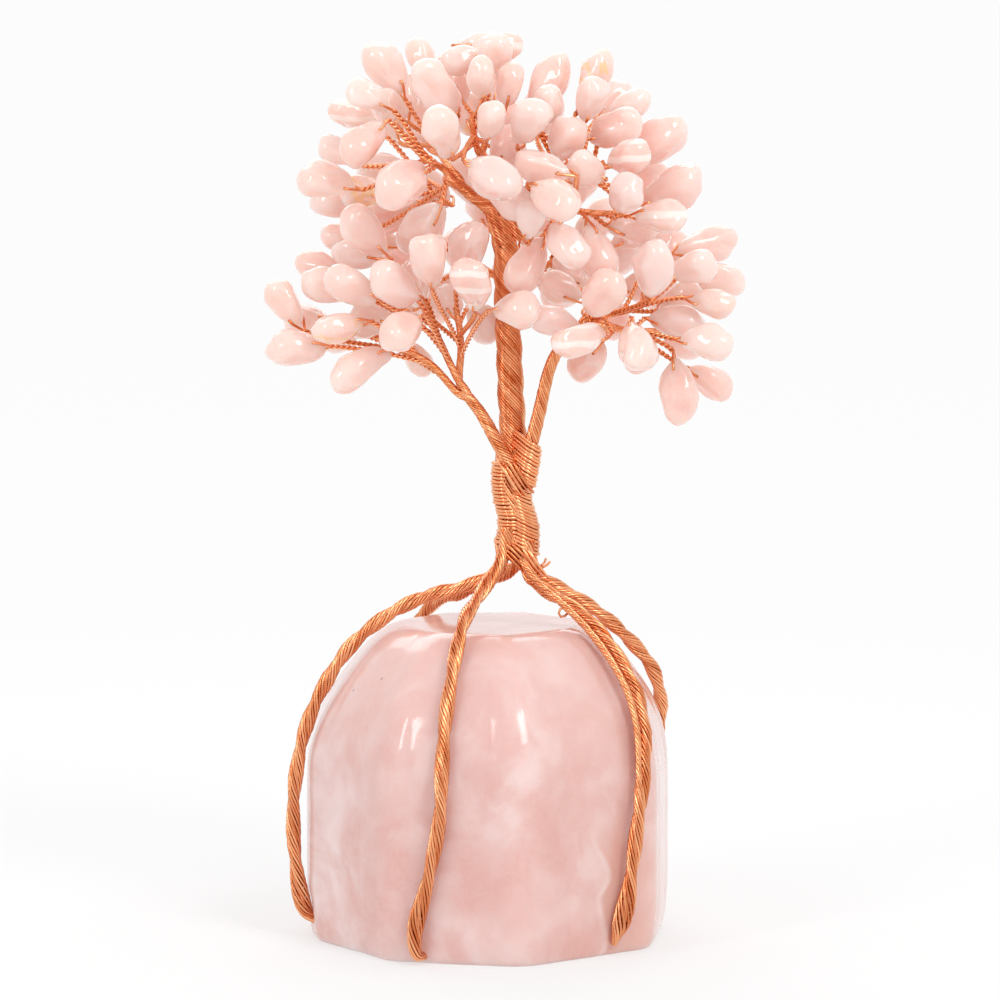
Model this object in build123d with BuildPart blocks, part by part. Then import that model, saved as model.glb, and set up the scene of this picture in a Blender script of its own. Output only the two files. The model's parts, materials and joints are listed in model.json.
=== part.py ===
from build123d import *
import math
import os
import numpy as np

# Gemstone tree: tumbled chips on twisted copper wire over a polished stone. Millimetres.
# The origin is the middle of the stone's underside, +Z is up and the front faces -Y.

# Stone
STONE_HEIGHT = 45.9
STONE_RADIUS = 27.7
STONE_ROUNDING = 6.0
STONE_CORNER_SHARES = [
    (-0.94, 0.31), (-0.91, -0.19), (-0.53, -0.85), (0.19, -1.02),
    (0.87, -0.46), (0.96, 0.31), (0.38, 0.92), (-0.46, 0.88),
]
# Each row is a level as a share of the height and the outline there as a share of the foot's
STONE_LEVEL_SHARES = [
    (0.0, 0.965), (0.07, 0.99), (0.20, 1.0), (0.40, 1.0), (0.56, 0.995), (0.69, 0.955),
    (0.79, 0.875), (0.885, 0.755), (0.95, 0.655), (1.0, 0.55),
]

# Roots
ROOT_DIAMETER = 2.4
ROOT_GAP = 0.25
ROOT_RISE = 9.3
ROOT_DROP = 1.6
NOTCH_GAP = 0.3

# Trunk and binding
TRUNK_FOOT_DIAMETER = 6.3
TRUNK_DIAMETER = 3.9
WIRE_DIAMETER = 0.32
BINDING_TURNS = 15
BINDING_PITCH = 0.76
BINDING_GAP = 0.1
BINDING_START = 1.6

# Boughs, limbs and twigs
BOUGH_DIAMETER = 2.4
LIMB_DIAMETER = 1.2
LIMB_RUN = 1.4
TWIG_DIAMETER = 0.64
BALL_DIAMETER = 2.7
BALL_GAP = 0.25
SEAT_GAP = 0.3
STRAND_GAP = 0.15
BEND_LIMIT = 9.0
BEND_SHARE = 0.45
TWIG_SPREAD_SHARE = 0.75

# Chips
HOLE_DIAMETER = 0.8
HOLE_SHARE = 0.29
STEM_SHARE = 0.56
STEM_REACH = 2.3
LOOP_GAP = 0.3
CHIP_GAP = 0.35
BODY_GAP = 0.6
NECK_RADIUS = 1.0
NECK_FOOT = 1.0
NECK_HEAD = 3.2
TWIG_ROOM = 0.2
SLOPE_SHARE = 0.3
WIRE_MARKS = 7
EASE_STEPS = 400
EASE_REFRESH = 20
EASE_HORIZON = 4.0
EASE_STEP_LIMIT = 0.5
EASE_PULL_SHARES = np.array([0.03, 0.005, 0.03])
EASE_SHARES = np.array([0.6, 1.0, 0.6])
OVERRUN = 2.0

# Length, width and thickness of the chip kinds
CHIP_KINDS = {
    "bud": (5.8, 4.5, 3.9),
    "pea": (6.6, 5.3, 4.5),
    "oval": (7.5, 5.9, 4.9),
    "bean": (8.2, 5.0, 4.3),
    "drop": (8.5, 6.1, 5.1),
    "plum": (9.2, 6.8, 5.6),
}

# Photo columns and rows that carry the tree's layout; depth is in pixels too, behind the trunk positive
TREE_HEIGHT = 75.7
FOOT_COLUMN = 517
FOOT_ROW = 560
TOP_ROW = 38
AXIS_COLUMN = 489
VIEW_DROP_SHARE = 0.065
FORK_ROW = 452

PIXEL = TREE_HEIGHT / (FOOT_ROW - TOP_ROW)
FOOT_LEVEL = STONE_HEIGHT + ROOT_RISE
FORK_HEIGHT = (FOOT_ROW - FORK_ROW) * PIXEL
FORK_LEVEL = FOOT_LEVEL + FORK_HEIGHT

# Root rows: azimuth in degrees, level share of the stone's height, distance off its side as a share of
# the root's own standoff
ROOT_SHARES = {
    "root_front": (242, [
        (251, 1.060, -2.9), (255, 1.034, 0.7), (256, 0.90, 1.4), (256, 0.80, 1.35), (256, 0.63, 1.4),
        (256, 0.53, 1.1), (255, 0.42, 1.1), (251.5, 0.24, 1.15), (248, 0.13, 1.15), (247, 0.036, 0.35),
    ]),
    "root_left": (170, [
        (184, 1.120, -8.0), (186, 1.084, -2.4), (187, 1.00, 2.1), (188, 0.90, 2.2), (188, 0.71, 1.8),
        (188, 0.53, 2.1), (188, 0.37, 2.3), (188, 0.21, 1.9), (188, 0.09, 1.3), (188, 0.036, 0.4),
    ]),
    "root_right_front": (314, [
        (345, 1.13, -5.2), (336, 1.042, 0.6), (331, 0.91, 1.8), (329, 0.787, 1.5), (325, 0.63, 1.5),
        (321.5, 0.445, 1.25), (319, 0.285, 1.2), (316.5, 0.13, 1.2), (315, 0.036, 0.45),
    ]),
    "root_right_back": (26, [
        (9, 1.125, -3.8), (11, 1.038, 0.9), (14, 0.92, 2.0), (18, 0.82, 1.8), (24, 0.66, 1.6),
        (32, 0.48, 1.3), (38, 0.28, 1.15), (40, 0.13, 1.15), (40, 0.036, 0.35),
    ]),
    "root_back": (98, [
        (118, 1.060, -2.8), (122, 1.034, 0.8), (124, 0.90, 1.4), (125, 0.80, 1.35), (126, 0.63, 1.45),
        (126, 0.53, 1.1), (126, 0.40, 1.1), (127, 0.24, 1.15), (128, 0.13, 1.15), (128, 0.036, 0.35),
    ]),
}

# Routes of the trunk and the boughs; those named after them stand on the trunk's top, the rest on the fork
TRUNK_PIXELS = [(514, 452, 0), (514, 440, 0), (511, 400, 0), (509, 345, 2), (506, 290, 4), (507, 250, 4), (501, 214, 2)]
BOUGH_PIXELS = {
    "left_bough": [(497, 452, -18), (488, 424, -19), (476, 404, -18), (463, 390, -16)],
    "right_bough": [(532, 452, -18), (541, 405, -20), (550, 362, -22), (566, 337, -24), (586, 322, -28)],
    "back_bough": [(516, 452, 26), (514, 400, 30), (512, 340, 46), (510, 290, 62)],
    "upper_left_bough": [(476, 199, -14), (456, 181, -22)],
    "top_bough": [(494, 186, 4), (484, 160, -2)],
    "upper_right_bough": [(514, 200, -8), (532, 190, -18)],
}
TOP_SEATS = ["upper_left_bough", "top_bough", "upper_right_bough"]

# Joints: the bough, its axis and the angle it bends through from rest
BENDS = {
    "left_bough": ((0, -1, 0), 20),
    "right_bough": ((0, 1, 0), 20),
    "back_bough": ((-1, 0, 0), 20),
    "top_bough": ((-1, 0, 0), 12),
}

# Sprigs: the bough, the limb's route and its chips (column, row, depth, kind, lean from upright)
SPRIG_PIXELS = {
    "left_low": ("left_bough", [(427, 356, -24), (402, 348, -28)], [
        (286, 303, -10, "pea", -35), (306, 320, 15, "pea", -90), (296, 345, -25, "oval", -95),
        (340, 326, -45, "pea", -100), (370, 322, -10, "pea", -80), (360, 364, -40, "drop", -117),
        (414, 364, 25, "bud", 150), (336, 334, 55, "pea", -100),
    ]),
    "left_mid": ("left_bough", [(441, 342, -18), (428, 312, -22)], [
        (318, 268, 25, "pea", -60), (330, 286, -15, "oval", -75), (354, 283, -45, "oval", -60),
        (398, 285, -75, "drop", -60), (403, 326, -80, "oval", -125), (364, 231, -30, "oval", -45),
        (357, 251, 25, "pea", -80), (380, 300, 50, "oval", -80),
    ]),
    "left_inner": ("left_bough", [(463, 338, -9), (456, 306, -10)], [
        (428, 258, -85, "drop", -5), (468, 248, -45, "oval", 20), (472, 283, -100, "drop", -8),
        (518, 304, -75, "pea", 85), (476, 322, 40, "pea", 140), (447, 300, 40, "bud", -30),
        (430, 285, 60, "oval", -20),
    ]),
    "right_inner": ("right_bough", [(602, 304, -38), (612, 288, -42)], [
        (562, 286, 25, "pea", -60), (600, 292, -85, "drop", 37), (556, 322, -60, "pea", -70),
        (580, 336, -90, "bean", -100), (575, 270, 60, "oval", -30),
    ]),
    "right_outer": ("right_bough", [(632, 309, -18), (656, 298, -18)], [
        (650, 268, -85, "plum", 5), (708, 246, 20, "drop", 80), (692, 271, -40, "pea", 80),
        (718, 279, -5, "pea", 110), (682, 301, 15, "pea", 70), (703, 305, -25, "bud", 100),
        (665, 250, 50, "oval", 50),
    ]),
    "right_low": ("right_bough", [(628, 331, -36), (652, 330, -38)], [
        (633, 343, -80, "oval", 170), (664, 335, -40, "oval", 100), (706, 340, -55, "oval", 95),
        (677, 386, -45, "drop", 175), (708, 380, -10, "pea", 120), (640, 350, 45, "oval", 170),
        (690, 330, 40, "oval", 110), (587, 359, 10, "pea", -140),
    ]),
    "upper_left_front": ("upper_left_bough", [(447, 170, -30), (436, 163, -36), (422, 158, -40)], [
        (367, 100, -45, "bud", -60), (388, 107, -25, "bud", -30), (365, 143, -70, "oval", -132),
        (328, 180, -40, "oval", -75), (405, 185, -100, "plum", -124), (362, 190, -5, "pea", -90),
        (338, 152, 0, "bud", -60),
    ]),
    "upper_left_back": ("upper_left_bough", [(448, 182, 0), (440, 192, 24), (430, 196, 42)], [
        (353, 115, 35, "pea", -60), (335, 205, 30, "pea", -90), (344, 232, 45, "bud", -100),
        (423, 228, 5, "plum", 35), (385, 170, 45, "oval", -80), (390, 215, 60, "oval", -110),
        (430, 190, 90, "oval", -60),
    ]),
    "upper_left_high": ("upper_left_bough", [(446, 162, -16), (436, 146, -8), (424, 130, -2)], [
        (387, 70, 0, "oval", -30), (405, 92, 40, "pea", -10), (437, 92, -55, "plum", -40),
        (412, 128, 68, "pea", -20), (427, 58, 45, "bud", -20), (392, 112, 92, "oval", -30),
    ]),
    "top_front": ("top_bough", [(478, 150, -16), (474, 135, -26), (472, 116, -32)], [
        (452, 132, -95, "drop", -15), (482, 80, -60, "bud", 0), (493, 121, -80, "bud", 10),
        (484, 176, -115, "drop", 120), (507, 80, -20, "bud", 10), (512, 190, -60, "oval", 150),
        (500, 148, 10, "pea", 30),
    ]),
    "top_back": ("top_bough", [(484, 148, 4), (487, 128, 14), (488, 106, 20)], [
        (455, 57, 20, "bud", 80), (490, 46, 25, "bean", 90), (496, 58, -15, "pea", 10),
        (508, 125, 5, "pea", 20), (455, 75, 60, "oval", -20), (500, 85, 75, "oval", 20),
        (470, 110, 80, "oval", -10),
    ]),
    "upper_right_front": ("upper_right_bough", [(556, 203, -36), (584, 213, -44), (612, 213, -48)], [
        (541, 163, -90, "bean", 105), (554, 194, -115, "oval", 115), (529, 219, -95, "bud", 5),
        (566, 244, -95, "oval", 150), (525, 266, -80, "oval", -150), (598, 252, -55, "oval", 160),
        (624, 195, -80, "pea", 20), (660, 216, -60, "pea", 90), (632, 223, -25, "pea", 100),
    ]),
    "upper_right_high": ("upper_right_bough", [(547, 174, -16), (556, 158, -13), (562, 138, -12)], [
        (547, 84, 15, "drop", 35), (595, 72, 0, "pea", 25), (530, 130, -75, "oval", 25),
        (548, 106, -35, "bud", 20), (562, 137, -45, "oval", 10), (594, 102, -40, "pea", 20),
        (540, 110, 60, "oval", 10),
    ]),
    "upper_right_far": ("upper_right_bough", [(556, 184, -10), (580, 174, -6), (604, 162, -4)], [
        (630, 104, 10, "bud", 60), (653, 143, -10, "plum", 60), (612, 128, -25, "oval", 70),
        (590, 168, -70, "pea", -60), (622, 160, -55, "pea", 60), (672, 192, -20, "plum", 65),
        (645, 178, 35, "oval", 80), (610, 100, 55, "oval", 40),
    ]),
    "back_left": ("back_bough", [(490, 272, 68), (468, 258, 74), (448, 246, 78)], [
        (400, 265, 110, "oval", -60), (370, 240, 95, "oval", -80), (420, 215, 125, "oval", -40),
        (440, 300, 115, "drop", -150), (395, 310, 90, "oval", -110), (460, 250, 150, "oval", -20),
    ]),
    "back_mid": ("back_bough", [(510, 262, 72), (508, 236, 80), (506, 208, 86)], [
        (470, 175, 125, "oval", -30), (512, 160, 120, "drop", 0), (545, 175, 130, "oval", 30),
        (490, 210, 160, "oval", -20), (535, 220, 155, "plum", 30), (515, 265, 150, "oval", 170),
    ]),
    "back_right": ("back_bough", [(532, 275, 68), (552, 262, 74), (574, 248, 78)], [
        (620, 260, 105, "oval", 80), (600, 220, 125, "oval", 50), (650, 290, 85, "oval", 100),
        (610, 310, 100, "drop", 140), (560, 290, 125, "oval", 170), (580, 185, 110, "oval", 30),
        (640, 230, 75, "oval", 60),
    ]),
}
SPIN_STEP = 137.5
SPIN_SPAN = 70


def photo_place(column, row, depth):
    """The place of a photo column and row, with the depth behind the trunk in pixels."""
    back = depth * PIXEL
    up = FOOT_LEVEL + (FOOT_ROW - row) * PIXEL - back * VIEW_DROP_SHARE
    return np.array([(column - AXIS_COLUMN) * PIXEL, back, up])


def unit(vector):
    return np.asarray(vector, float) / np.linalg.norm(vector)


def turned(points, pivot, axis, angle):
    """Points turned about an axis through the pivot, the angle in degrees."""
    axis = unit(axis)
    arm = points - pivot
    swing = math.radians(angle)
    along = np.outer(arm @ axis, axis)
    return pivot + arm * math.cos(swing) + np.cross(axis, arm) * math.sin(swing) + along * (1 - math.cos(swing))


def bent_path(points):
    """A path of straight runs with tangent arcs at its corners."""
    kept = [points[0]]
    for here, following in zip(points[1:-1], points[2:]):
        if unit(here - kept[-1]) @ unit(following - here) < math.cos(math.radians(1)):
            kept.append(here)
    kept.append(points[-1])
    radii = []
    for before, here, after in zip(kept, kept[1:], kept[2:]):
        turn = math.acos(np.clip(unit(here - before) @ unit(after - here), -1, 1))
        shorter = min(np.linalg.norm(here - before), np.linalg.norm(after - here))
        radii.append(min(BEND_SHARE * shorter / math.tan(turn / 2), BEND_LIMIT))
    with BuildLine() as path:
        if radii:
            FilletPolyline(*[tuple(p) for p in kept], radius=radii)
        else:
            Line(tuple(kept[0]), tuple(kept[1]))
    return path.line


def tube(path, diameter, start_ball=None, end_ball=None):
    """A round bundle along a path, with a ball at either end if its diameter is given."""
    with BuildPart() as bundle:
        with BuildSketch(Plane(origin=path @ 0, z_dir=path % 0)):
            Circle(diameter / 2)
        sweep(path=path)
        if start_ball:
            with Locations(path @ 0):
                Sphere(start_ball / 2)
        if end_ball:
            with Locations(path @ 1):
                Sphere(end_ball / 2)
    return bundle.part


def array(vector):
    return np.array([vector.X, vector.Y, vector.Z])


# The stone's outline seen from its axis
corners = [np.array(corner) * STONE_RADIUS for corner in STONE_CORNER_SHARES]


def stone_reach(azimuth):
    """How far the stone's foot outline lies from the axis in a direction."""
    ray = np.array([math.cos(math.radians(azimuth)), math.sin(math.radians(azimuth))])
    for first, second in zip(corners, corners[1:] + corners[:1]):
        edge = second - first
        matrix = np.array([[ray[0], -edge[0]], [ray[1], -edge[1]]])
        reach, share = np.linalg.solve(matrix, first)
        if reach > 0 and 0 <= share <= 1:
            return reach


def stone_side(azimuth, level_share, off):
    """A place off the stone's side, or over its top, at a level share."""
    levels, sizes = zip(*STONE_LEVEL_SHARES)
    reach = stone_reach(azimuth) * np.interp(level_share, levels, sizes) + off
    turn = math.radians(azimuth)
    return np.array([reach * math.cos(turn), reach * math.sin(turn), level_share * STONE_HEIGHT])


# Routes of the roots
foot = photo_place(FOOT_COLUMN, FOOT_ROW, 0)
root_radius = ROOT_DIAMETER / 2
root_ring = (root_radius + STRAND_GAP) / math.sin(math.pi / len(ROOT_SHARES))
root_paths = {}
for name, (seat, rows) in ROOT_SHARES.items():
    turn = math.radians(seat)
    start = foot + root_ring * np.array([math.cos(turn), math.sin(turn), 0])
    route = [start, start - np.array([0, 0, ROOT_DROP])]
    for azimuth, level_share, off_share in rows:
        route.append(stone_side(azimuth, level_share, off_share * (root_radius + ROOT_GAP)))
    root_paths[name] = bent_path(route)

# Routes of the trunk and the boughs
trunk_path = bent_path([photo_place(*row) for row in TRUNK_PIXELS])
top_end = array(trunk_path @ 1)
top_way = array(trunk_path % 1)
ball_lift = np.array([0, 0, BALL_DIAMETER / 2 + BALL_GAP])


def ring_seats(centre, way, targets, ring):
    """Places spread evenly round a bundle's end, each on its target's side."""
    across = unit(np.cross(way, [0, 1, 0]))
    over = np.cross(way, across)
    raw = [math.atan2((t - centre) @ over, (t - centre) @ across) for t in targets]
    order = sorted(range(len(raw)), key=lambda k: raw[k])
    step = 2 * math.pi / len(raw)
    offsets = [raw[k] - place * step for place, k in enumerate(order)]
    base = math.atan2(sum(map(math.sin, offsets)), sum(map(math.cos, offsets)))
    seats = [None] * len(raw)
    for place, k in enumerate(order):
        turn = base + place * step
        seats[k] = centre + ring * (math.cos(turn) * across + math.sin(turn) * over)
    return seats


top_ring = (BOUGH_DIAMETER / 2 + SEAT_GAP) / math.sin(math.pi / len(TOP_SEATS))
top_targets = [photo_place(*BOUGH_PIXELS[name][0]) for name in TOP_SEATS]
top_starts = dict(zip(TOP_SEATS, ring_seats(top_end, top_way, top_targets, top_ring)))
bough_paths = {}
for name, rows in BOUGH_PIXELS.items():
    route = [photo_place(*row) for row in rows]
    if name in top_starts:
        rise = LIMB_RUN + (BALL_DIAMETER / 2 + BALL_GAP if name in BENDS else 0)
        ball = top_starts[name] + top_way * (rise - LIMB_RUN)
        route = [ball, top_starts[name] + top_way * rise] + route
    else:
        route[0] = route[0] * [1, 1, 0] + [0, 0, FORK_LEVEL] + ball_lift
    bough_paths[name] = bent_path(route)

# Routes of the limbs, seated side by side on their bough's end
limb_paths = {}
for bough, path in bough_paths.items():
    sprigs = [name for name, row in SPRIG_PIXELS.items() if row[0] == bough]
    ends = [photo_place(*SPRIG_PIXELS[name][1][-1]) for name in sprigs]
    way = array(path % 1)
    ring = (LIMB_DIAMETER + STRAND_GAP) / 2 / math.sin(math.pi / len(sprigs))
    for name, seat in zip(sprigs, ring_seats(array(path @ 1), way, ends, ring)):
        route = [seat, seat + way * LIMB_RUN] + [photo_place(*row) for row in SPRIG_PIXELS[name][1]]
        limb_paths[name] = bent_path(route)

# Chips: their wanted places, leans and the stations of their twigs along the limbs
chips = []
for sprig, (bough, route, rows) in SPRIG_PIXELS.items():
    path = limb_paths[sprig]
    tip = array(path @ 1)
    places = [photo_place(column, row, depth) for column, row, depth, kind, lean in rows]
    order = sorted(range(len(rows)), key=lambda k: (places[k] - tip) @ array(path % 1))
    for k, (column, row, depth, kind, lean) in enumerate(rows):
        share = 1 - TWIG_SPREAD_SHARE * (1 - (order.index(k) + 0.5) / len(rows))
        station = array(path @ share)
        out = unit(places[k] - tip)
        turn = math.radians(lean)
        axis = unit([math.sin(turn), out[1], math.cos(turn)])
        if axis @ (places[k] - station) < 0:
            axis = -axis
        chips.append(dict(sprig=sprig, bough=bough, kind=kind, place=places[k], axis=axis,
                          seat=(station, array(path % share), (tip - station) @ array(path % share))))


def closest(p0, p1, q0, q1):
    """Shares along two sets of segments where they come closest."""
    d1 = p1 - p0
    d2 = q1 - q0
    r = p0 - q0
    a = np.maximum((d1 * d1).sum(1), 1e-9)
    e = np.maximum((d2 * d2).sum(1), 1e-9)
    b = (d1 * d2).sum(1)
    c = (d1 * r).sum(1)
    f = (d2 * r).sum(1)
    spread = a * e - b * b
    s = np.clip((b * f - c * e) / np.maximum(spread, 1e-9), 0, 1)
    t = np.clip((b * s + f) / e, 0, 1)
    s = np.clip((b * t - c) / a, 0, 1)
    return s, t


def twig_start(stem, station, way, run):
    """Where a twig leaves its limb, just clear of the limb's side or of its end, a run ahead."""
    out = unit(stem - station)
    lean = out @ way
    slope = math.sqrt(1 - lean * lean)
    radius = TWIG_DIAMETER / 2
    clear = (LIMB_DIAMETER / 2 + STRAND_GAP + radius * abs(lean)) / max(slope, SLOPE_SHARE)
    if lean > 0:
        clear = min(clear, (run + STRAND_GAP + radius * slope) / lean)
    return station + out * clear


def twig_shortfall(stems, seats):
    """How much the twigs of a sprig lack in clearance from each other."""
    starts = np.array([twig_start(stem, *seat) for stem, seat in zip(stems, seats)])
    i, j = np.triu_indices(len(stems), 1)
    s, t = closest(starts[i], stems[i], starts[j], stems[j])
    gap = starts[i] + (stems[i] - starts[i]) * s[:, None] - starts[j] - (stems[j] - starts[j]) * t[:, None]
    return np.maximum(TWIG_DIAMETER + TWIG_ROOM - np.linalg.norm(gap, axis=1), 0).sum()


def share_seats(chips, stems):
    """Swap the twigs' seats within each sprig until they cross as little as they can."""
    for sprig in SPRIG_PIXELS:
        mine = [k for k, chip in enumerate(chips) if chip["sprig"] == sprig]
        seats = [chips[k]["seat"] for k in mine]
        best = twig_shortfall(stems[mine], seats)
        improved = True
        while improved:
            improved = False
            for first in range(len(mine)):
                for second in range(first):
                    trial = seats.copy()
                    trial[first], trial[second] = seats[second], seats[first]
                    short = twig_shortfall(stems[mine], trial)
                    if short < best - 1e-6:
                        best, seats, improved = short, trial, True
        for k, seat in zip(mine, seats):
            chips[k]["seat"] = seat


def ease_apart(chips):
    """Move the chips, mostly in depth, until chips, twigs and wires clear each other over the travel."""
    count = len(chips)
    goal = np.array([chip["place"] for chip in chips])
    place = goal.copy()
    axes = np.array([chip["axis"] for chip in chips])
    sizes = np.array([CHIP_KINDS[chip["kind"]] for chip in chips])
    half = ((sizes[:, 0] - sizes[:, 1]) / 2)[:, None]
    reach = (sizes[:, 0] / 2 + STEM_REACH)[:, None]
    wires = []
    wire_home = []
    wire_body = []
    for name, path, diameter in wire_runs:
        marks = [array(path @ share) for share in np.linspace(0, 1, WIRE_MARKS)]
        wires += [(first, second, diameter / 2) for first, second in zip(marks, marks[1:])]
        body = SPRIG_PIXELS[name][0] if name in SPRIG_PIXELS else name
        wire_home += [name] * (len(marks) - 1)
        wire_body += [body if body in BENDS else "trunk"] * (len(marks) - 1)
    wire_0 = np.array([wire[0] for wire in wires])
    wire_1 = np.array([wire[1] for wire in wires])

    # Chips, then necks where the loops spread, then twigs, then the thicker wires
    radii = [sizes[:, 1] / 2, np.full(count, NECK_RADIUS), np.full(count, TWIG_DIAMETER / 2 + TWIG_ROOM / 2)]
    radii = np.concatenate(radii + [[wire[2] for wire in wires]])
    bodies = [chip["bough"] if chip["bough"] in BENDS else "trunk" for chip in chips]
    body_of = np.array(bodies * 3 + wire_body)
    home = np.array([chip["sprig"] for chip in chips] * 3 + wire_home)
    layer = np.repeat([0, 1, 2, 3], [count, count, count, len(wires)])
    near_0 = np.where(layer < 2, 1, 0)
    near_1 = np.where(layer < 3, 1, 0)
    chip_of = np.concatenate([np.tile(np.arange(count), 3), np.full(len(wires), -1)])
    first, second = np.triu_indices(len(radii), 1)
    keep = (layer[first] < 3) & (chip_of[first] != chip_of[second])
    keep &= ~((layer[first] == 2) & (layer[second] == 3) & (home[first] == home[second]))
    first, second = first[keep], second[keep]
    apart = body_of[first] != body_of[second]
    gap = np.where(apart, BODY_GAP, CHIP_GAP)
    moving = list(BENDS)
    poses = [{}] + [{name: share} for name in moving for share in (0.5, 1)] + [{name: 1 for name in moving}]
    rows = [None] * len(poses)
    for step in range(EASE_STEPS + 1):
        stems = place - axes * reach
        if step % EASE_REFRESH == 0 and step < EASE_STEPS / 2:
            share_seats(chips, stems)
        starts = np.array([twig_start(stem, *chip["seat"]) for stem, chip in zip(stems, chips)])
        low = np.concatenate([place - axes * half, stems + axes * NECK_FOOT, starts, wire_0])
        high = np.concatenate([place + axes * half, stems + axes * NECK_HEAD, stems, wire_1])
        push = np.zeros_like(place)
        least = math.inf
        for number, pose in enumerate(poses):
            start, end = low.copy(), high.copy()
            for name, share in pose.items():
                mine = body_of == name
                axis, bend = BENDS[name]
                pivot = array(bough_paths[name] @ 0)
                start[mine] = turned(start[mine], pivot, axis, bend * share)
                end[mine] = turned(end[mine], pivot, axis, bend * share)
            if step % EASE_REFRESH == 0:
                bent = np.isin(body_of, list(pose))
                rows[number] = np.flatnonzero(apart & (bent[first] | bent[second])) if pose else np.arange(len(first))
            i, j = first[rows[number]], second[rows[number]]
            s, t = closest(start[i], end[i], start[j], end[j])
            there = start[j] + (end[j] - start[j]) * t[:, None]
            between = start[i] + (end[i] - start[i]) * s[:, None] - there
            distance = np.maximum(np.linalg.norm(between, axis=1), 1e-6)
            free = distance - radii[i] - radii[j]
            least = free.min(initial=least)
            hit = free < gap[rows[number]]
            if step % EASE_REFRESH == 0:
                rows[number], hit_rows = rows[number][free < EASE_HORIZON], rows[number][hit]
            else:
                hit_rows = rows[number][hit]
            i, j, s, t = i[hit], j[hit], s[hit], t[hit]
            short = (gap[hit_rows] - free[hit]) / distance[hit]
            shift = between[hit] * short[:, None] * EASE_SHARES / 2
            move_i = near_0[i] * (1 - s) + near_1[i] * s
            move_j = near_0[j] * (1 - t) + near_1[j] * t
            np.add.at(push, chip_of[i], shift * move_i[:, None])
            np.add.at(push, chip_of[j], -shift * move_j[:, None])
        if step == EASE_STEPS:
            break
        length = np.maximum(np.linalg.norm(push, axis=1), 1e-9)[:, None]
        place += push * np.minimum(1, EASE_STEP_LIMIT / length)
        place += (goal - place) * EASE_PULL_SHARES * max(0, 1 - 1.4 * step / EASE_STEPS)
    print("least gap between chips, twigs and wires", round(least, 3))
    print("chips moved by at most", np.abs(place - goal).max(0).round(2), "mean",
          np.abs(place - goal).mean(0).round(2))
    for chip, spot in zip(chips, place):
        chip["place"] = spot


wire_runs = [("trunk", trunk_path, TRUNK_DIAMETER)]
wire_runs += [(name, path, BOUGH_DIAMETER) for name, path in bough_paths.items()]
wire_runs += [(name, path, LIMB_DIAMETER) for name, path in limb_paths.items()]
ease_apart(chips)


def chip_solid(kind):
    """A tumbled chip, long in Z and thin in Y, drilled across near its stem end."""
    length, width, thickness = CHIP_KINDS[kind]
    with BuildPart() as chip:
        with BuildSketch(Plane.XZ):
            with BuildLine():
                stem_end = length * STEM_SHARE
                far = EllipticalCenterArc((0, 0), width / 2, length - stem_end, start_angle=0, arc_size=90)
                stem = EllipticalCenterArc((0, 0), width / 2, stem_end, start_angle=270, arc_size=90)
                Line(far @ 1, stem @ 0)
            make_face()
        revolve(axis=Axis.Z)
        scale(by=(1, thickness / width, 1), mode=Mode.REPLACE)
        with Locations((0, 0, length * (HOLE_SHARE - STEM_SHARE))):
            Cylinder(HOLE_DIAMETER / 2, width + OVERRUN, rotation=(90, 0, 0), mode=Mode.SUBTRACT)
    return chip.part


def rod(start, end, diameter):
    """A straight wire between two points."""
    way = np.subtract(end, start)
    foot_plane = Plane(origin=tuple(start), z_dir=tuple(way))
    return Solid.make_cylinder(diameter / 2, float(np.linalg.norm(way)), foot_plane)


def loop_solid(kind):
    """The loop of one wire through a chip of this kind, down to where its legs meet."""
    length, width, thickness = CHIP_KINDS[kind]
    hole = length * (HOLE_SHARE - STEM_SHARE)
    share = hole / (length * STEM_SHARE)
    side = thickness / 2 * math.sqrt(1 - share * share) + LOOP_GAP + WIRE_DIAMETER / 2
    stem = (0, 0, -length * STEM_SHARE - STEM_REACH)
    with BuildPart() as loop:
        add(rod((0, -side, hole), (0, side, hole), WIRE_DIAMETER))
        for end in ((0, -side, hole), (0, side, hole)):
            add(rod(stem, end, WIRE_DIAMETER))
            with Locations(end):
                Sphere(WIRE_DIAMETER / 2)
    return loop.part


chip_solids = {kind: chip_solid(kind) for kind in CHIP_KINDS}
loop_solids = {kind: loop_solid(kind) for kind in CHIP_KINDS}
sprig_chips = {name: [] for name in SPRIG_PIXELS}
sprig_wires = {name: [tube(path, LIMB_DIAMETER)] for name, path in limb_paths.items()}
for number, chip in enumerate(chips):
    length = CHIP_KINDS[chip["kind"]][0]
    middle = chip["place"] - chip["axis"] * length * (0.5 - STEM_SHARE)
    flat = Plane(origin=tuple(middle), x_dir=tuple(np.cross(chip["axis"], [0, 1, 0])), z_dir=tuple(chip["axis"]))
    spin = number * SPIN_STEP % SPIN_SPAN - SPIN_SPAN / 2
    spot = flat.location * Location((0, 0, 0), (0, 0, spin))
    sprig_chips[chip["sprig"]].append(chip_solids[chip["kind"]].moved(spot))
    stem = chip["place"] - chip["axis"] * (length / 2 + STEM_REACH)
    start = twig_start(stem, *chip["seat"])
    with BuildPart() as twig:
        add(rod(start, stem + unit(stem - start) * TWIG_DIAMETER / 2, TWIG_DIAMETER))
        add(loop_solids[chip["kind"]].moved(spot))
    sprig_wires[chip["sprig"]].append(twig.part)

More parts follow.
